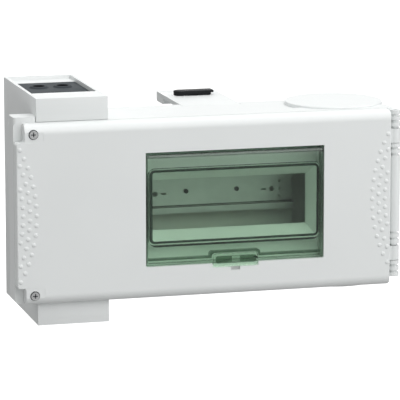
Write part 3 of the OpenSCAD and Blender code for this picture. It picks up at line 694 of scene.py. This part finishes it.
@dataclass(frozen=True)
class SoftEdges:
    """A copy of a CAD moulding whose long outer edges are rounded over."""

    node: str
    radius: float
    shortest: float
    segments: int = 3
    weld: float = 0.001 * MM
    flat_angle: float = math.radians(0.6)

    def build(self, material: bpy.types.Material) -> bpy.types.Object:
        """Rounds the copy.

        Args:
            material: The copy's material.

        Returns:
            The rounded piece.
        """
        bm = bmesh.new()
        bm.from_mesh(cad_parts[self.node].data)
        bmesh.ops.remove_doubles(bm, verts=bm.verts, dist=self.weld)
        bmesh.ops.dissolve_limit(bm, angle_limit=self.flat_angle, verts=bm.verts, edges=bm.edges)
        edges = [edge for edge in bm.edges if edge.is_manifold and edge.is_convex
                 and edge.calc_face_angle() > SHARP and edge.calc_length() > self.shortest]
        bmesh.ops.bevel(bm, geom=edges, offset=self.radius, segments=self.segments, profile=0.5,
                        affect="EDGES", clamp_overlap=True)
        mesh = bpy.data.meshes.new(f"{self.node}_soft")
        bm.to_mesh(mesh)
        bm.free()
        return show(mesh, material)


@dataclass
class Housing:
    """The fixed housing: base, cable column, caps, arm and what is inside."""

    column_edge: float = 0.7 * MM
    arm_edge: float = 0.5 * MM
    plate_edge: float = 0.4 * MM
    shortest: float = 3.5 * MM

    def build(self, palette: Palette) -> None:
        """Rounds the outer mouldings and dresses the rest.

        Args:
            palette: The finishes.
        """
        for node, radius, slot in (("cable_column", self.column_edge, Slot.WHITE),
                                   ("hook_arm", self.arm_edge, Slot.WHITE),
                                   ("upper_gland_plate", self.plate_edge, Slot.DARK),
                                   ("lower_gland_plate", self.plate_edge, Slot.DARK)):
            piece = SoftEdges(node, radius, self.shortest).build(palette.by_slot[slot])
            palette.mount(piece, Body.HOUSING, slot, node)
        palette.dress(Slot.WHITE, "base_shell", "upper_entry_cap", "lower_entry_cap")
        palette.dress(Slot.RUBBER, "upper_grommets", "lower_grommets")
        palette.dress(Slot.SEAL, "cover_gasket")
        palette.dress(Slot.ZINC, "din_rail")
        palette.dress(Slot.BLACKENED, "rail_screws")
        palette.dress(Slot.STEEL, "terminal_screws", "hinge_pins", "arm_screws", "column_screws")
        palette.dress(Slot.BRASS, "neutral_bar", "earth_bar", "screw_receivers")
        palette.dress(Slot.DARK, "bar_supports")


@dataclass
class FrontCover:
    """The hinged cover with its grip dots, fascia and captive screws."""

    left_edge: float = -199.0 * MM
    right_edge: float = 146.0 * MM
    face_y: float = -90.0 * MM
    dot_radius: float = 2.0 * MM
    dot_rise: float = 0.8 * MM
    dot_root: float = 0.1 * MM
    dot_pitch: float = 8.77 * MM
    dot_crown_deg: float = 84.0
    dot_loops: int = 7
    dot_segments: int = 20
    row_gap: float = 6.05 * MM
    row_inset: float = 17.7 * MM
    arc_radius: float = 125.0 * MM
    row_counts: tuple[int, ...] = (15, 12, 7)
    screw_x: float = -183.5 * MM
    screw_z: float = 72.0 * MM
    screw_sink: float = 1.6 * MM
    ring_outer: float = 4.35 * MM
    ring_inner: float = 3.75 * MM
    ring_height: float = 0.3 * MM
    ring_segments: int = 32
    cross_long: float = 4.2 * MM
    cross_wide: float = 0.8 * MM
    cross_floor: float = 1.2 * MM
    cross_corner: float = 0.1 * MM
    plate_width: float = 8.0 * MM
    plate_low: float = -58.0 * MM
    plate_high: float = -55.2 * MM
    plate_y: float = -88.0 * MM
    plate_height: float = 0.5 * MM
    plate_edge: float = 0.2 * MM
    plate_corner: float = 0.4 * MM

    def build(self, palette: Palette) -> None:
        """Makes the dots, the screw rings and crosses of painted shade and the lever plate of painted shade,
        and dresses the mouldings and screws.

        Args:
            palette: The finishes.
        """
        palette.dress(Slot.WHITE, "front_cover", "fascia")
        palette.dress(Slot.STEEL, "fascia_screws", "cover_screws")
        palette.dress(Slot.BLACK, "screw_retainers")
        for make, slot in ((self._dots, Slot.WHITE), (self._screw_shade_rings, Slot.RUBBER), (self._recess_shade_plate, Slot.STEEL)):
            palette.mount(make(palette.by_slot[slot]), Body.COVER, slot)

    def _recess_shade_plate(self, material: bpy.types.Material) -> bpy.types.Object:
        """Lofts the small bevelled grey plate in the recess below the flap's tab, painted shade that darkens
        the recess.

        Args:
            material: The plate's material.

        Returns:
            The plate.
        """
        edge, top = self.plate_edge, self.plate_height
        solid = Solid()
        solid.loft([Outline.flat(0.0, self.plate_width - 2 * inset, self.plate_low + inset,
                                 self.plate_high - inset, self.plate_corner, self.plate_y - rise).points()
                    for inset, rise in ((0.0, 0.0), (0.0, top - edge), (edge, top))])
        return solid.piece("lever_plate", material)

    def _dot(self, material: bpy.types.Material) -> bpy.types.Object:
        """Makes one low dome that stands on the cover's face.

        Args:
            material: The dome's material.

        Returns:
            The dome, at the origin.
        """
        profile = [(self.dot_radius, -self.dot_root)]
        for step in range(self.dot_loops):
            angle = math.radians(self.dot_crown_deg * step / (self.dot_loops - 1))
            profile.append((self.dot_radius * math.cos(angle), self.dot_rise * math.sin(angle)))
        solid = Solid()
        solid.turn(profile, ORIGIN, OUTWARD, self.dot_segments)
        return solid.piece("grip_dot", material)

    def _dot_tree(self) -> bpy.types.NodeTree:
        """Builds the tree that sets dots along the bowed rows of both ends.

        Returns:
            The tree.
        """
        graph, given, result = Graph.group(
            "GeometryNodeTree", "Grip Dots",
            {"Dot": ("Object", None), "Left Edge": ("Float", 0.0), "Right Edge": ("Float", 0.0),
             "Face": ("Float", 0.0), "Arc Radius": ("Float", 0.1), "Pitch": ("Float", 0.01),
             "Row Gap": ("Float", 0.01), "Inset": ("Float", 0.01), "Material": ("Material", None)},
            {"Geometry": "Geometry"})
        socket = given.outputs
        rows = graph.add("GeometryNodeJoinGeometry")
        step = graph.math("DIVIDE", socket["Pitch"], socket["Arc Radius"])
        reach = graph.math("SUBTRACT", socket["Inset"], socket["Arc Radius"])
        for row, count in enumerate(self.row_counts):
            sweep = graph.math("MULTIPLY", step, float(count - 1))
            radius = graph.math("SUBTRACT", socket["Arc Radius"],
                                graph.math("MULTIPLY", socket["Row Gap"], float(row)))
            for middle, edge, operation in ((0.0, "Left Edge", "ADD"), (math.pi, "Right Edge", "SUBTRACT")):
                start = graph.math("SUBTRACT", middle, graph.math("DIVIDE", sweep, 2.0))
                arc = graph.add("GeometryNodeCurveArc", {"Resolution": count, "Radius": radius,
                                                         "Start Angle": start, "Sweep Angle": sweep})
                centre = graph.add("ShaderNodeCombineXYZ", {
                    "X": graph.math(operation, socket[edge], reach), "Y": socket["Face"]})
                upright = graph.add("GeometryNodeTransform", {
                    "Geometry": arc.outputs["Curve"], "Translation": centre.outputs[0],
                    "Rotation": (math.pi / 2, 0.0, 0.0)})
                graph.feed(rows, 0, upright.outputs[0])
        graph.scatter(result, rows.outputs[0], socket["Dot"], socket["Material"])
        return graph.tree

    def _dots(self, material: bpy.types.Material) -> bpy.types.Object:
        """Grows all the grip dots as one piece.

        Args:
            material: The dots' material.

        Returns:
            The piece.
        """
        dot = self._dot(material)
        piece = grow("grip_dots", self._dot_tree(), {
            "Dot": dot, "Left Edge": self.left_edge, "Right Edge": self.right_edge, "Face": self.face_y,
            "Arc Radius": self.arc_radius, "Pitch": self.dot_pitch, "Row Gap": self.row_gap,
            "Inset": self.row_inset}, material)
        bpy.data.objects.remove(dot)
        return piece

    @staticmethod
    def _screw_shade_tree() -> bpy.types.NodeTree:
        """Builds the tree that sets a ring and cross of painted shade at each screw.

        Returns:
            The tree.
        """
        graph, given, result = Graph.group(
            "GeometryNodeTree", "Screw Rings",
            {"Ring": ("Object", None), "Screw X": ("Float", 0.0), "Floor": ("Float", 0.0),
             "Screw Z": ("Float", 0.0), "Material": ("Material", None)},
            {"Geometry": "Geometry"})
        socket = given.outputs
        start = graph.add("ShaderNodeCombineXYZ", {"X": socket["Screw X"], "Y": socket["Floor"],
                                                   "Z": graph.math("MULTIPLY", socket["Screw Z"], -1.0)})
        stride = graph.add("ShaderNodeCombineXYZ", {"Z": graph.math("MULTIPLY", socket["Screw Z"], 2.0)})
        line = graph.add("GeometryNodeMeshLine", {"Count": 2, "Start Location": start.outputs[0],
                                                  "Offset": stride.outputs[0]})
        graph.scatter(result, line.outputs[0], socket["Ring"], socket["Material"])
        return graph.tree

    def _screw_shade_rings(self, material: bpy.types.Material) -> bpy.types.Object:
        """Grows dark rings of painted shade in the gaps round the screw heads and dark crosses of painted
        shade in their recesses, as one piece.

        Args:
            material: The rings' material.

        Returns:
            The piece.
        """
        solid = Solid()
        solid.turn([(self.ring_outer, 0.0), (self.ring_outer, self.ring_height),
                    (self.ring_inner, self.ring_height), (self.ring_inner, self.ring_height / 4)],
                   ORIGIN, OUTWARD, self.ring_segments)
        for width, height in ((self.cross_long, self.cross_wide), (self.cross_wide, self.cross_long)):
            solid.loft([Outline.flat(0.0, width, -height / 2, height / 2, self.cross_corner, -y).points()
                        for y in (self.cross_floor, self.cross_floor + self.ring_height)])
        ring = solid.piece("screw_ring", material)
        piece = grow("screw_rings", self._screw_shade_tree(), {
            "Ring": ring, "Screw X": self.screw_x, "Floor": self.face_y + self.screw_sink,
            "Screw Z": self.screw_z}, material)
        bpy.data.objects.remove(ring)
        return piece


@dataclass(frozen=True)
class FlapPaintedLight:
    """The flap's painted light and shade, face by face: below 0 a painted lighter glint, at 0 the clear tint,
    and from 0 to 1 ever darker painted shade.
    """

    clear: float = 0.0
    pale: float = -0.5
    line: float = 1.0
    fillet: float = 0.8
    skirt_rim: float = 0.6
    skirt_inside: float = 0.3
    roll_inside: float = 0.4
    low_edge: float = 0.45
    top_band: float = -0.15
    back: float = -0.1
    frame_face: float = 0.2
    pin: float = 0.5
    tab_side: float = 0.3
    grip_wall: float = 0.9
    grip_rib: float = 0.2
    grip_pad: float = 0.5
    low_rib: float = 0.74


# A loop of the tray and the painted light and shade of the strip that follows it
Row = tuple[list[Point], float]


@dataclass
class WindowFlap:
    """The tinted flap: a tray with a rolled top, ribs behind it and a pull tab."""

    # The painted light and shade of each kind of face
    painted_light: FlapPaintedLight = FlapPaintedLight()
    seam: float = 0.02 * MM
    width: float = 164.4 * MM
    half_height: float = 51.0 * MM
    front: float = -90.0 * MM
    thickness: float = 3.0 * MM
    skirt: float = 10.0 * MM
    skirt_wall: float = 2.0 * MM
    roll: float = 5.0 * MM
    rim: float = 0.4 * MM
    fillet: float = 0.8 * MM
    corner: float = 1.0 * MM
    inner_corner: float = 0.6 * MM
    top_corner: float = 0.3 * MM
    frame_width: float = 155.8 * MM
    frame_low: float = -30.9 * MM
    frame_high: float = 34.5 * MM
    frame_corner: float = 4.0 * MM
    frame_wall: float = 2.6 * MM
    frame_slim: float = 0.8
    frame_depth: float = 2.5 * MM
    frame_foot: float = 0.9 * MM
    frame_root: float = 1.8 * MM
    frame_edge: float = 0.7 * MM
    frame_gap: float = 1.0 * MM
    frame_squeeze: float = 0.1
    glint_start: float = 0.1
    pin_radius: float = 2.0 * MM
    pin_length: float = 2.9 * MM
    pin_tip: float = 0.8
    pin_chamfer: float = 0.3 * MM
    pin_segments: int = 20
    tab_width: float = 42.0 * MM
    tab_low: float = -54.5 * MM
    tab_high: float = -42.5 * MM
    tab_rise: float = 1.4 * MM
    tab_corner: float = 3.0 * MM
    tab_edge: float = 0.4 * MM
    grip_frame: float = 2.2 * MM
    grip_lip: float = 3.0 * MM
    grip_depth: float = 1.0 * MM
    grip_rib: float = 8.0 * MM
    grip_rib_sink: float = 0.1 * MM
    wedge_inset: float = 0.8 * MM
    wedge_drop: float = 3.6 * MM
    wedge_long: float = 4.2 * MM
    wedge_wide: float = 2.6 * MM
    lip_gap: float = 0.1 * MM
    lip_corner: float = 0.2 * MM
    lip_depth: float = 2.0 * MM
    rib_low: float = -47.3 * MM
    rib_depth: float = 5.0 * MM
    rib_gap: float = 0.3 * MM
    rib_drop: float = 0.5 * MM
    rib_margins: tuple[float, float] = (0.6 * MM, 2.6 * MM)

    def build(self, palette: Palette) -> None:
        """Builds the tray and the tab with its surround.

        Args:
            palette: The finishes.
        """
        material = palette.by_slot[Slot.WINDOW]
        palette.mount(self._tray(material), Body.FLAP, Slot.WINDOW, "window_flap")
        palette.mount(self._tab(material), Body.FLAP, Slot.WINDOW)
        palette.mount(self._surround(material), Body.FLAP, Slot.WINDOW)

    def _frame_loop(self, margin: float, depth: float) -> list[Point]:
        """Lists a loop round the frame of ribs, which narrows where it would meet the skirt.

        Args:
            margin: How far it lies outside the frame's inner edge.
            depth: How far it lies behind the face.

        Returns:
            The points.
        """
        room = self.width - 2 * self.skirt_wall - self.frame_gap + self.frame_squeeze * margin
        width = min(self.frame_width + 2 * margin, room)
        return Outline.flat(0.0, width, self.frame_low - margin, self.frame_high + self.frame_slim * margin,
                            self.frame_corner + margin, self.front + depth).points()

    def _edge_loop(self, inset: float, top_inset: float, depths: tuple[float, float, float]) -> list[Point]:
        """Lists a loop round the flap's edge.

        Args:
            inset: How far it lies inside the sides and the low edge.
            top_inset: How far it lies below the top.
            depths: Distance behind the face at the sides, the low edge and the top.

        Returns:
            The points.
        """
        half = self.width / 2 - inset
        side, low, top = (self.front + depth for depth in depths)
        return Outline(-half, half, inset - self.half_height, self.half_height - top_inset,
                       max(self.corner - inset, self.inner_corner), self.top_corner, side, low, top).points()

    def _edge_rows(self) -> list[Row]:
        """Lists the loops from the face over the edge to the back.

        Returns:
            The rows.
        """
        painted_light, inner = self.painted_light, self.roll - self.thickness
        rows = []
        for step in range(CORNER_STEPS + 1):
            angle = math.pi / 2 * (1 - step / CORNER_STEPS)
            side = self.fillet * (1 - math.sin(angle))
            loop = self._edge_loop(self.fillet * (1 - math.cos(angle)), self.roll * (1 - math.cos(angle)),
                                   (side, side, self.roll * (1 - math.sin(angle))))
            rows.append((loop, painted_light.fillet))
        ends = (self.skirt, self.skirt, self.roll + self.rim)
        rows.append((self._edge_loop(0.0, 0.0, ends), painted_light.skirt_rim))
        rows.append((self._edge_loop(self.skirt_wall, self.thickness, ends), painted_light.skirt_inside))
        for step in range(CORNER_STEPS + 1):
            angle = math.pi / 2 * step / CORNER_STEPS
            loop = self._edge_loop(self.skirt_wall + self.seam * (step + 1),
                                   self.thickness + inner * (1 - math.cos(angle)),
                                   (self.thickness, self.thickness, self.roll - inner * math.sin(angle)))
            rows.append((loop, painted_light.back if step == CORNER_STEPS else painted_light.roll_inside))
        return rows

    def _frame_rows(self) -> list[Row]:
        """Lists the loops of the frame of ribs, from its foot over its edge to the back inside it.

        Returns:
            The rows.
        """
        painted_light, wall, edge, back = self.painted_light, self.frame_wall, self.frame_edge, self.thickness
        deep = back + self.frame_depth
        return [(self._frame_loop(margin, depth), tint) for margin, depth, tint in (
            (wall + self.frame_foot, back, painted_light.line), (wall, back, painted_light.line), (wall, deep, painted_light.line),
            (wall - edge, deep, painted_light.frame_face), (edge, deep, painted_light.line), (0.0, deep, painted_light.line),
            (0.0, back, painted_light.line), (-self.frame_root, back, painted_light.clear))]

    def _tray(self, material: bpy.types.Material) -> bpy.types.Object:
        """Lofts the tray from its face over the edge to the ribs at its back, and adds the pivot pins.

        Args:
            material: The tray's material.

        Returns:
            The tray.
        """
        painted_light = self.painted_light
        rows = [(self._frame_loop(0.0, 0.0), painted_light.clear), *self._edge_rows(), *self._frame_rows()]
        solid = Solid()
        solid.loft([loop for loop, _ in rows], [painted_light.clear, *(tint for _, tint in rows)])
        # Caps the painted shade: lighter on the low edge, a painted highlight line just over the upper rib,
        # and a painted lighter top band.
        line = self.frame_high + self.frame_slim * self.frame_wall
        glint = line + self.frame_slim * self.frame_foot
        for low, high, most in ((-2 * self.half_height, self.skirt_wall - self.half_height, painted_light.low_edge),
                                (line + self.glint_start * self.frame_foot, glint, painted_light.pale),
                                (glint, self.half_height - self.roll, painted_light.top_band)):
            solid.limit_painted_light(low, high, most)
        tip = self.pin_radius * self.pin_tip
        for side in (-1.0, 1.0):
            solid.turn([(tip, -self.seam), (self.pin_radius, self.pin_chamfer),
                        (self.pin_radius, self.pin_length - self.pin_chamfer), (tip, self.pin_length)],
                       (side * self.width / 2, self.front + self.roll, self.half_height - self.roll),
                       (side, 0.0, 0.0), self.pin_segments, painted_light.pin)
        return solid.piece("flap_tray", material)

    def _tab_loop(self, inset: float, y: float) -> list[Point]:
        """Lists a loop inside the tab's outline."""
        return Outline.flat(0.0, self.tab_width - 2 * inset, self.tab_low + inset, self.tab_high - inset,
                            self.tab_corner - inset, y).points()

    def _grip_loop(self, inset: float, y: float) -> list[Point]:
        """Lists a loop inside the sunk grip's outline."""
        return Outline.flat(0.0, self.tab_width - 2 * self.grip_frame - 2 * inset,
                            self.tab_low + self.grip_lip + inset, self.tab_high - self.grip_frame - inset,
                            self.tab_corner - self.grip_frame / 2 - inset, y).points()

    def _grip(self, solid: Solid, face: float) -> None:
        """Adds the rib with painted lighter faces, the pads of painted shade on the grip's floor and a thin
        black wedge on the tab's face.

        Args:
            solid: The tab's mesh.
            face: Where the tab's face lies in Y.
        """
        painted_light, edge = self.painted_light, self.tab_edge
        low, high = self.tab_low + self.grip_lip, self.tab_high - self.grip_frame
        floor, half = face + self.grip_depth, self.tab_width / 2
        solid.loft([Outline.flat(0.0, width, low, high, edge, y).points()
                    for width, y in ((self.grip_rib, floor - self.seam),
                                     (self.grip_rib - edge, face + self.grip_rib_sink))],
                   [painted_light.pale, painted_light.grip_rib, painted_light.pale])
        pad = half - self.grip_frame - edge - self.grip_rib / 2
        for side in (-1.0, 1.0):
            middle = side * (self.grip_rib + pad) / 2
            solid.loft([Outline.flat(middle, pad, low + edge, high - edge, edge, y).points()
                        for y in (floor - self.seam, floor - 2 * self.seam)], [painted_light.grip_pad] * 3)
        right, top = half - self.wedge_inset, self.tab_high - self.wedge_drop
        solid.loft([[(right - self.wedge_long, y, top - edge), (right, y, top - self.wedge_wide),
                     (right, y, top)] for y in (face - self.seam, face - 4 * self.seam)], [painted_light.line] * 3)

    def _tab(self, material: bpy.types.Material) -> bpy.types.Object:
        """Lofts the pull tab with its sunk grip and the lip below the flap.

        Args:
            material: The tab's material.

        Returns:
            The tab.
        """
        painted_light, edge = self.painted_light, self.tab_edge
        face, half = self.front - self.tab_rise, self.tab_width / 2
        solid = Solid()
        # The tab's faces and lip carry a painted lighter glint, its walls painted shade.
        solid.loft([self._tab_loop(0.0, self.front - self.seam), self._tab_loop(0.0, face + edge),
                    self._tab_loop(edge, face), self._grip_loop(0.0, face),
                    self._grip_loop(edge, face + self.grip_depth)],
                   [painted_light.pale, painted_light.tab_side, painted_light.pale, painted_light.pale, painted_light.grip_wall, painted_light.clear])
        self._grip(solid, face)
        solid.loft([Outline(-half, half, self.tab_low, -self.half_height - self.lip_gap, self.tab_corner,
                            self.lip_corner, y, y, y).points()
                    for y in (self.front - self.seam / 2, self.front + self.lip_depth)], [painted_light.pale] * 3)
        return solid.piece("flap_tab", material)

    def _arch(self, margin: float) -> list[tuple[float, float]]:
        """Lists the line of the low rib, which arches over the tab.

        Args:
            margin: How far it lies outside the tab and above the rib's low side.

        Returns:
            The X and Z of each point, from the right to the left.
        """
        reach = self.width / 2 - self.skirt_wall - self.rib_gap
        radius = self.tab_corner
        half, low = self.tab_width / 2 + margin, self.rib_low + margin
        shoulder = self.tab_high - self.rib_drop + margin - radius
        points = [(reach, low), (half, low)]
        for middle, start in ((half - radius, 0.0), (radius - half, 90.0)):
            for step in range(CORNER_STEPS + 1):
                angle = math.radians(start + 90.0 * step / CORNER_STEPS)
                points.append((middle + radius * math.cos(angle), shoulder + radius * math.sin(angle)))
        return points + [(-half, low), (-reach, low)]

    def _surround(self, material: bpy.types.Material) -> bpy.types.Object:
        """Lofts the rib behind the face that follows the low edge and arches over the tab; its faces carry
        painted shade, a dark band round the tab.

        Args:
            material: The rib's material.

        Returns:
            The rib.
        """
        near = self.front + self.thickness - self.seam
        far = near + self.rib_depth
        sections = [[(a[0], near, a[1]), (a[0], far, a[1]), (b[0], far, b[1]), (b[0], near, b[1])]
                    for a, b in zip(*(self._arch(margin) for margin in self.rib_margins))]
        solid = Solid()
        solid.loft(sections, [self.painted_light.low_rib] * (len(sections) + 1))
        return solid.piece("flap_surround", material)


@dataclass
class HookLatch:
    """The black latch that slides along the hook arm."""

    edge: float = 0.6 * MM

    def build(self, palette: Palette) -> None:
        """Rounds the latch's edges."""
        piece = SoftEdges("arm_latch", self.edge, 0.0).build(palette.by_slot[Slot.BLACK])
        palette.mount(piece, Body.LATCH, Slot.BLACK, "arm_latch")


@dataclass(frozen=True)
class Softbox:
    """A square area lamp aimed at the box."""

    name: str
    place: Point
    size: float
    power: float
    target: Point = ORIGIN

    def build(self) -> None:
        """Adds the lamp."""
        data = bpy.data.lights.new(self.name, "AREA")
        data.shape = "SQUARE"
        data.size = self.size
        data.energy = self.power
        lamp = bpy.data.objects.new(self.name, data)
        lamp.location = self.place
        aim = Vector(self.target) - Vector(self.place)
        lamp.rotation_euler = aim.to_track_quat("-Z", "Y").to_euler()
        bpy.context.scene.collection.objects.link(lamp)


@dataclass
class Studio:
    """The camera, lamps, white surroundings and floor of the product photograph."""

    camera_place: Point = (-0.7109, -2.5788, 0.4891)
    camera_right: Point = (0.9648, -0.2630, 0.0)
    camera_up: Point = (0.0484, 0.1775, 0.9829)
    camera_shift: tuple[float, float] = (-0.0015, 0.0019)
    lens: float = 265.5
    sensor: float = 36.0
    clip_end: float = 50.0
    ambient: float = 0.53
    floor_z: float = -0.38
    floor_size: float = 14.0
    floor_tone: float = 0.36
    floor_lift: tuple[float, float] = (0.78, 1.0)
    floor_blend: tuple[float, float] = (0.5, 1.5)
    lamps: tuple[Softbox, ...] = (
        Softbox("overhead", (0.1, 0.0, 1.7), size=2.2, power=21.0),
        Softbox("front_right", (0.5, -2.0, 1.3), size=1.4, power=16.5),
        Softbox("front_fill", (-1.4, -2.0, -0.35), size=1.2, power=6.5),
        Softbox("right_rim", (2.0, -1.2, 0.2), size=1.2, power=10.5),
        Softbox("rear_fill", (0.3, 2.3, -0.08), size=0.5, power=6.0),
    )

    def build(self) -> None:
        """Sets up the whole studio."""
        self._camera()
        self._world()
        self._floor()
        for lamp in self.lamps:
            lamp.build()
        bpy.context.scene.view_settings.view_transform = "Standard"

    def _camera(self) -> None:
        """Sets the camera at the photograph's viewpoint."""
        right, up = Vector(self.camera_right).normalized(), Vector(self.camera_up).normalized()
        back = right.cross(up).normalized()
        data = bpy.data.cameras.new("photo_view")
        data.sensor_width = self.sensor
        data.lens = self.lens
        data.shift_x, data.shift_y = self.camera_shift
        data.clip_end = self.clip_end
        camera = bpy.data.objects.new("photo_view", data)
        turn = Matrix((right, back.cross(right), back)).transposed()
        camera.matrix_world = Matrix.Translation(self.camera_place) @ turn.to_4x4()
        bpy.context.scene.collection.objects.link(camera)
        bpy.context.scene.camera = camera

    def _world(self) -> None:
        """Makes the surroundings white to the eye and soft as a light."""
        world = bpy.data.worlds.new("white_room")
        world.use_nodes = True
        world.node_tree.nodes.clear()
        graph = Graph(world.node_tree)
        strength = graph.ramp(graph.seen("Diffuse"), 0.0, 1.0, self.ambient, 1.0)
        sky = graph.add("ShaderNodeBackground", {"Color": (1.0, 1.0, 1.0, 1.0), "Strength": strength})
        graph.add("ShaderNodeOutputWorld", {"Surface": sky.outputs[0]})
        bpy.context.scene.world = world

    def _floor(self) -> None:
        """Lays a white floor that keeps the box's shadow and is clear from below."""
        paint = Paint("white_floor")
        diffuse = paint.add("ShaderNodeBsdfDiffuse", {"Color": (*[self.floor_tone] * 3, 1.0)})
        away = paint.add("ShaderNodeVectorMath", {0: paint.place}, operation="LENGTH").outputs["Value"]
        glow = paint.ramp(away, *self.floor_blend, *self.floor_lift)
        lift = paint.add("ShaderNodeEmission", {
            "Strength": paint.math("MULTIPLY", paint.seen("Diffuse", "Glossy"), glow)})
        both = paint.add("ShaderNodeAddShader", {0: diffuse.outputs[0], 1: lift.outputs[0]})
        below = paint.add("ShaderNodeNewGeometry").outputs["Backfacing"]
        clear = paint.add("ShaderNodeBsdfTransparent")
        ground = paint.add("ShaderNodeMixShader", {0: below, 1: both.outputs[0], 2: clear.outputs[0]})
        half = self.floor_size / 2
        mesh = bpy.data.meshes.new("floor")
        mesh.from_pydata([(x, y, self.floor_z) for x, y in ((-half, -half), (half, -half), (half, half),
                                                            (-half, half))], [], [(0, 1, 2, 3)])
        mesh.materials.append(paint.cover(ground))
        floor = bpy.data.objects.new("floor", mesh)
        bpy.context.scene.collection.objects.link(floor)


def main() -> None:
    """Builds every sub-assembly and sets up the studio."""
    logging.basicConfig(level=logging.INFO, format="%(name)s: %(message)s")
    palette = Palette()
    for part in (Housing(), FrontCover(), WindowFlap(), HookLatch()):
        part.build(palette)
        LOG.info("%s built", type(part).__name__)
    Studio().build()


if __name__ == "__main__":
    main()
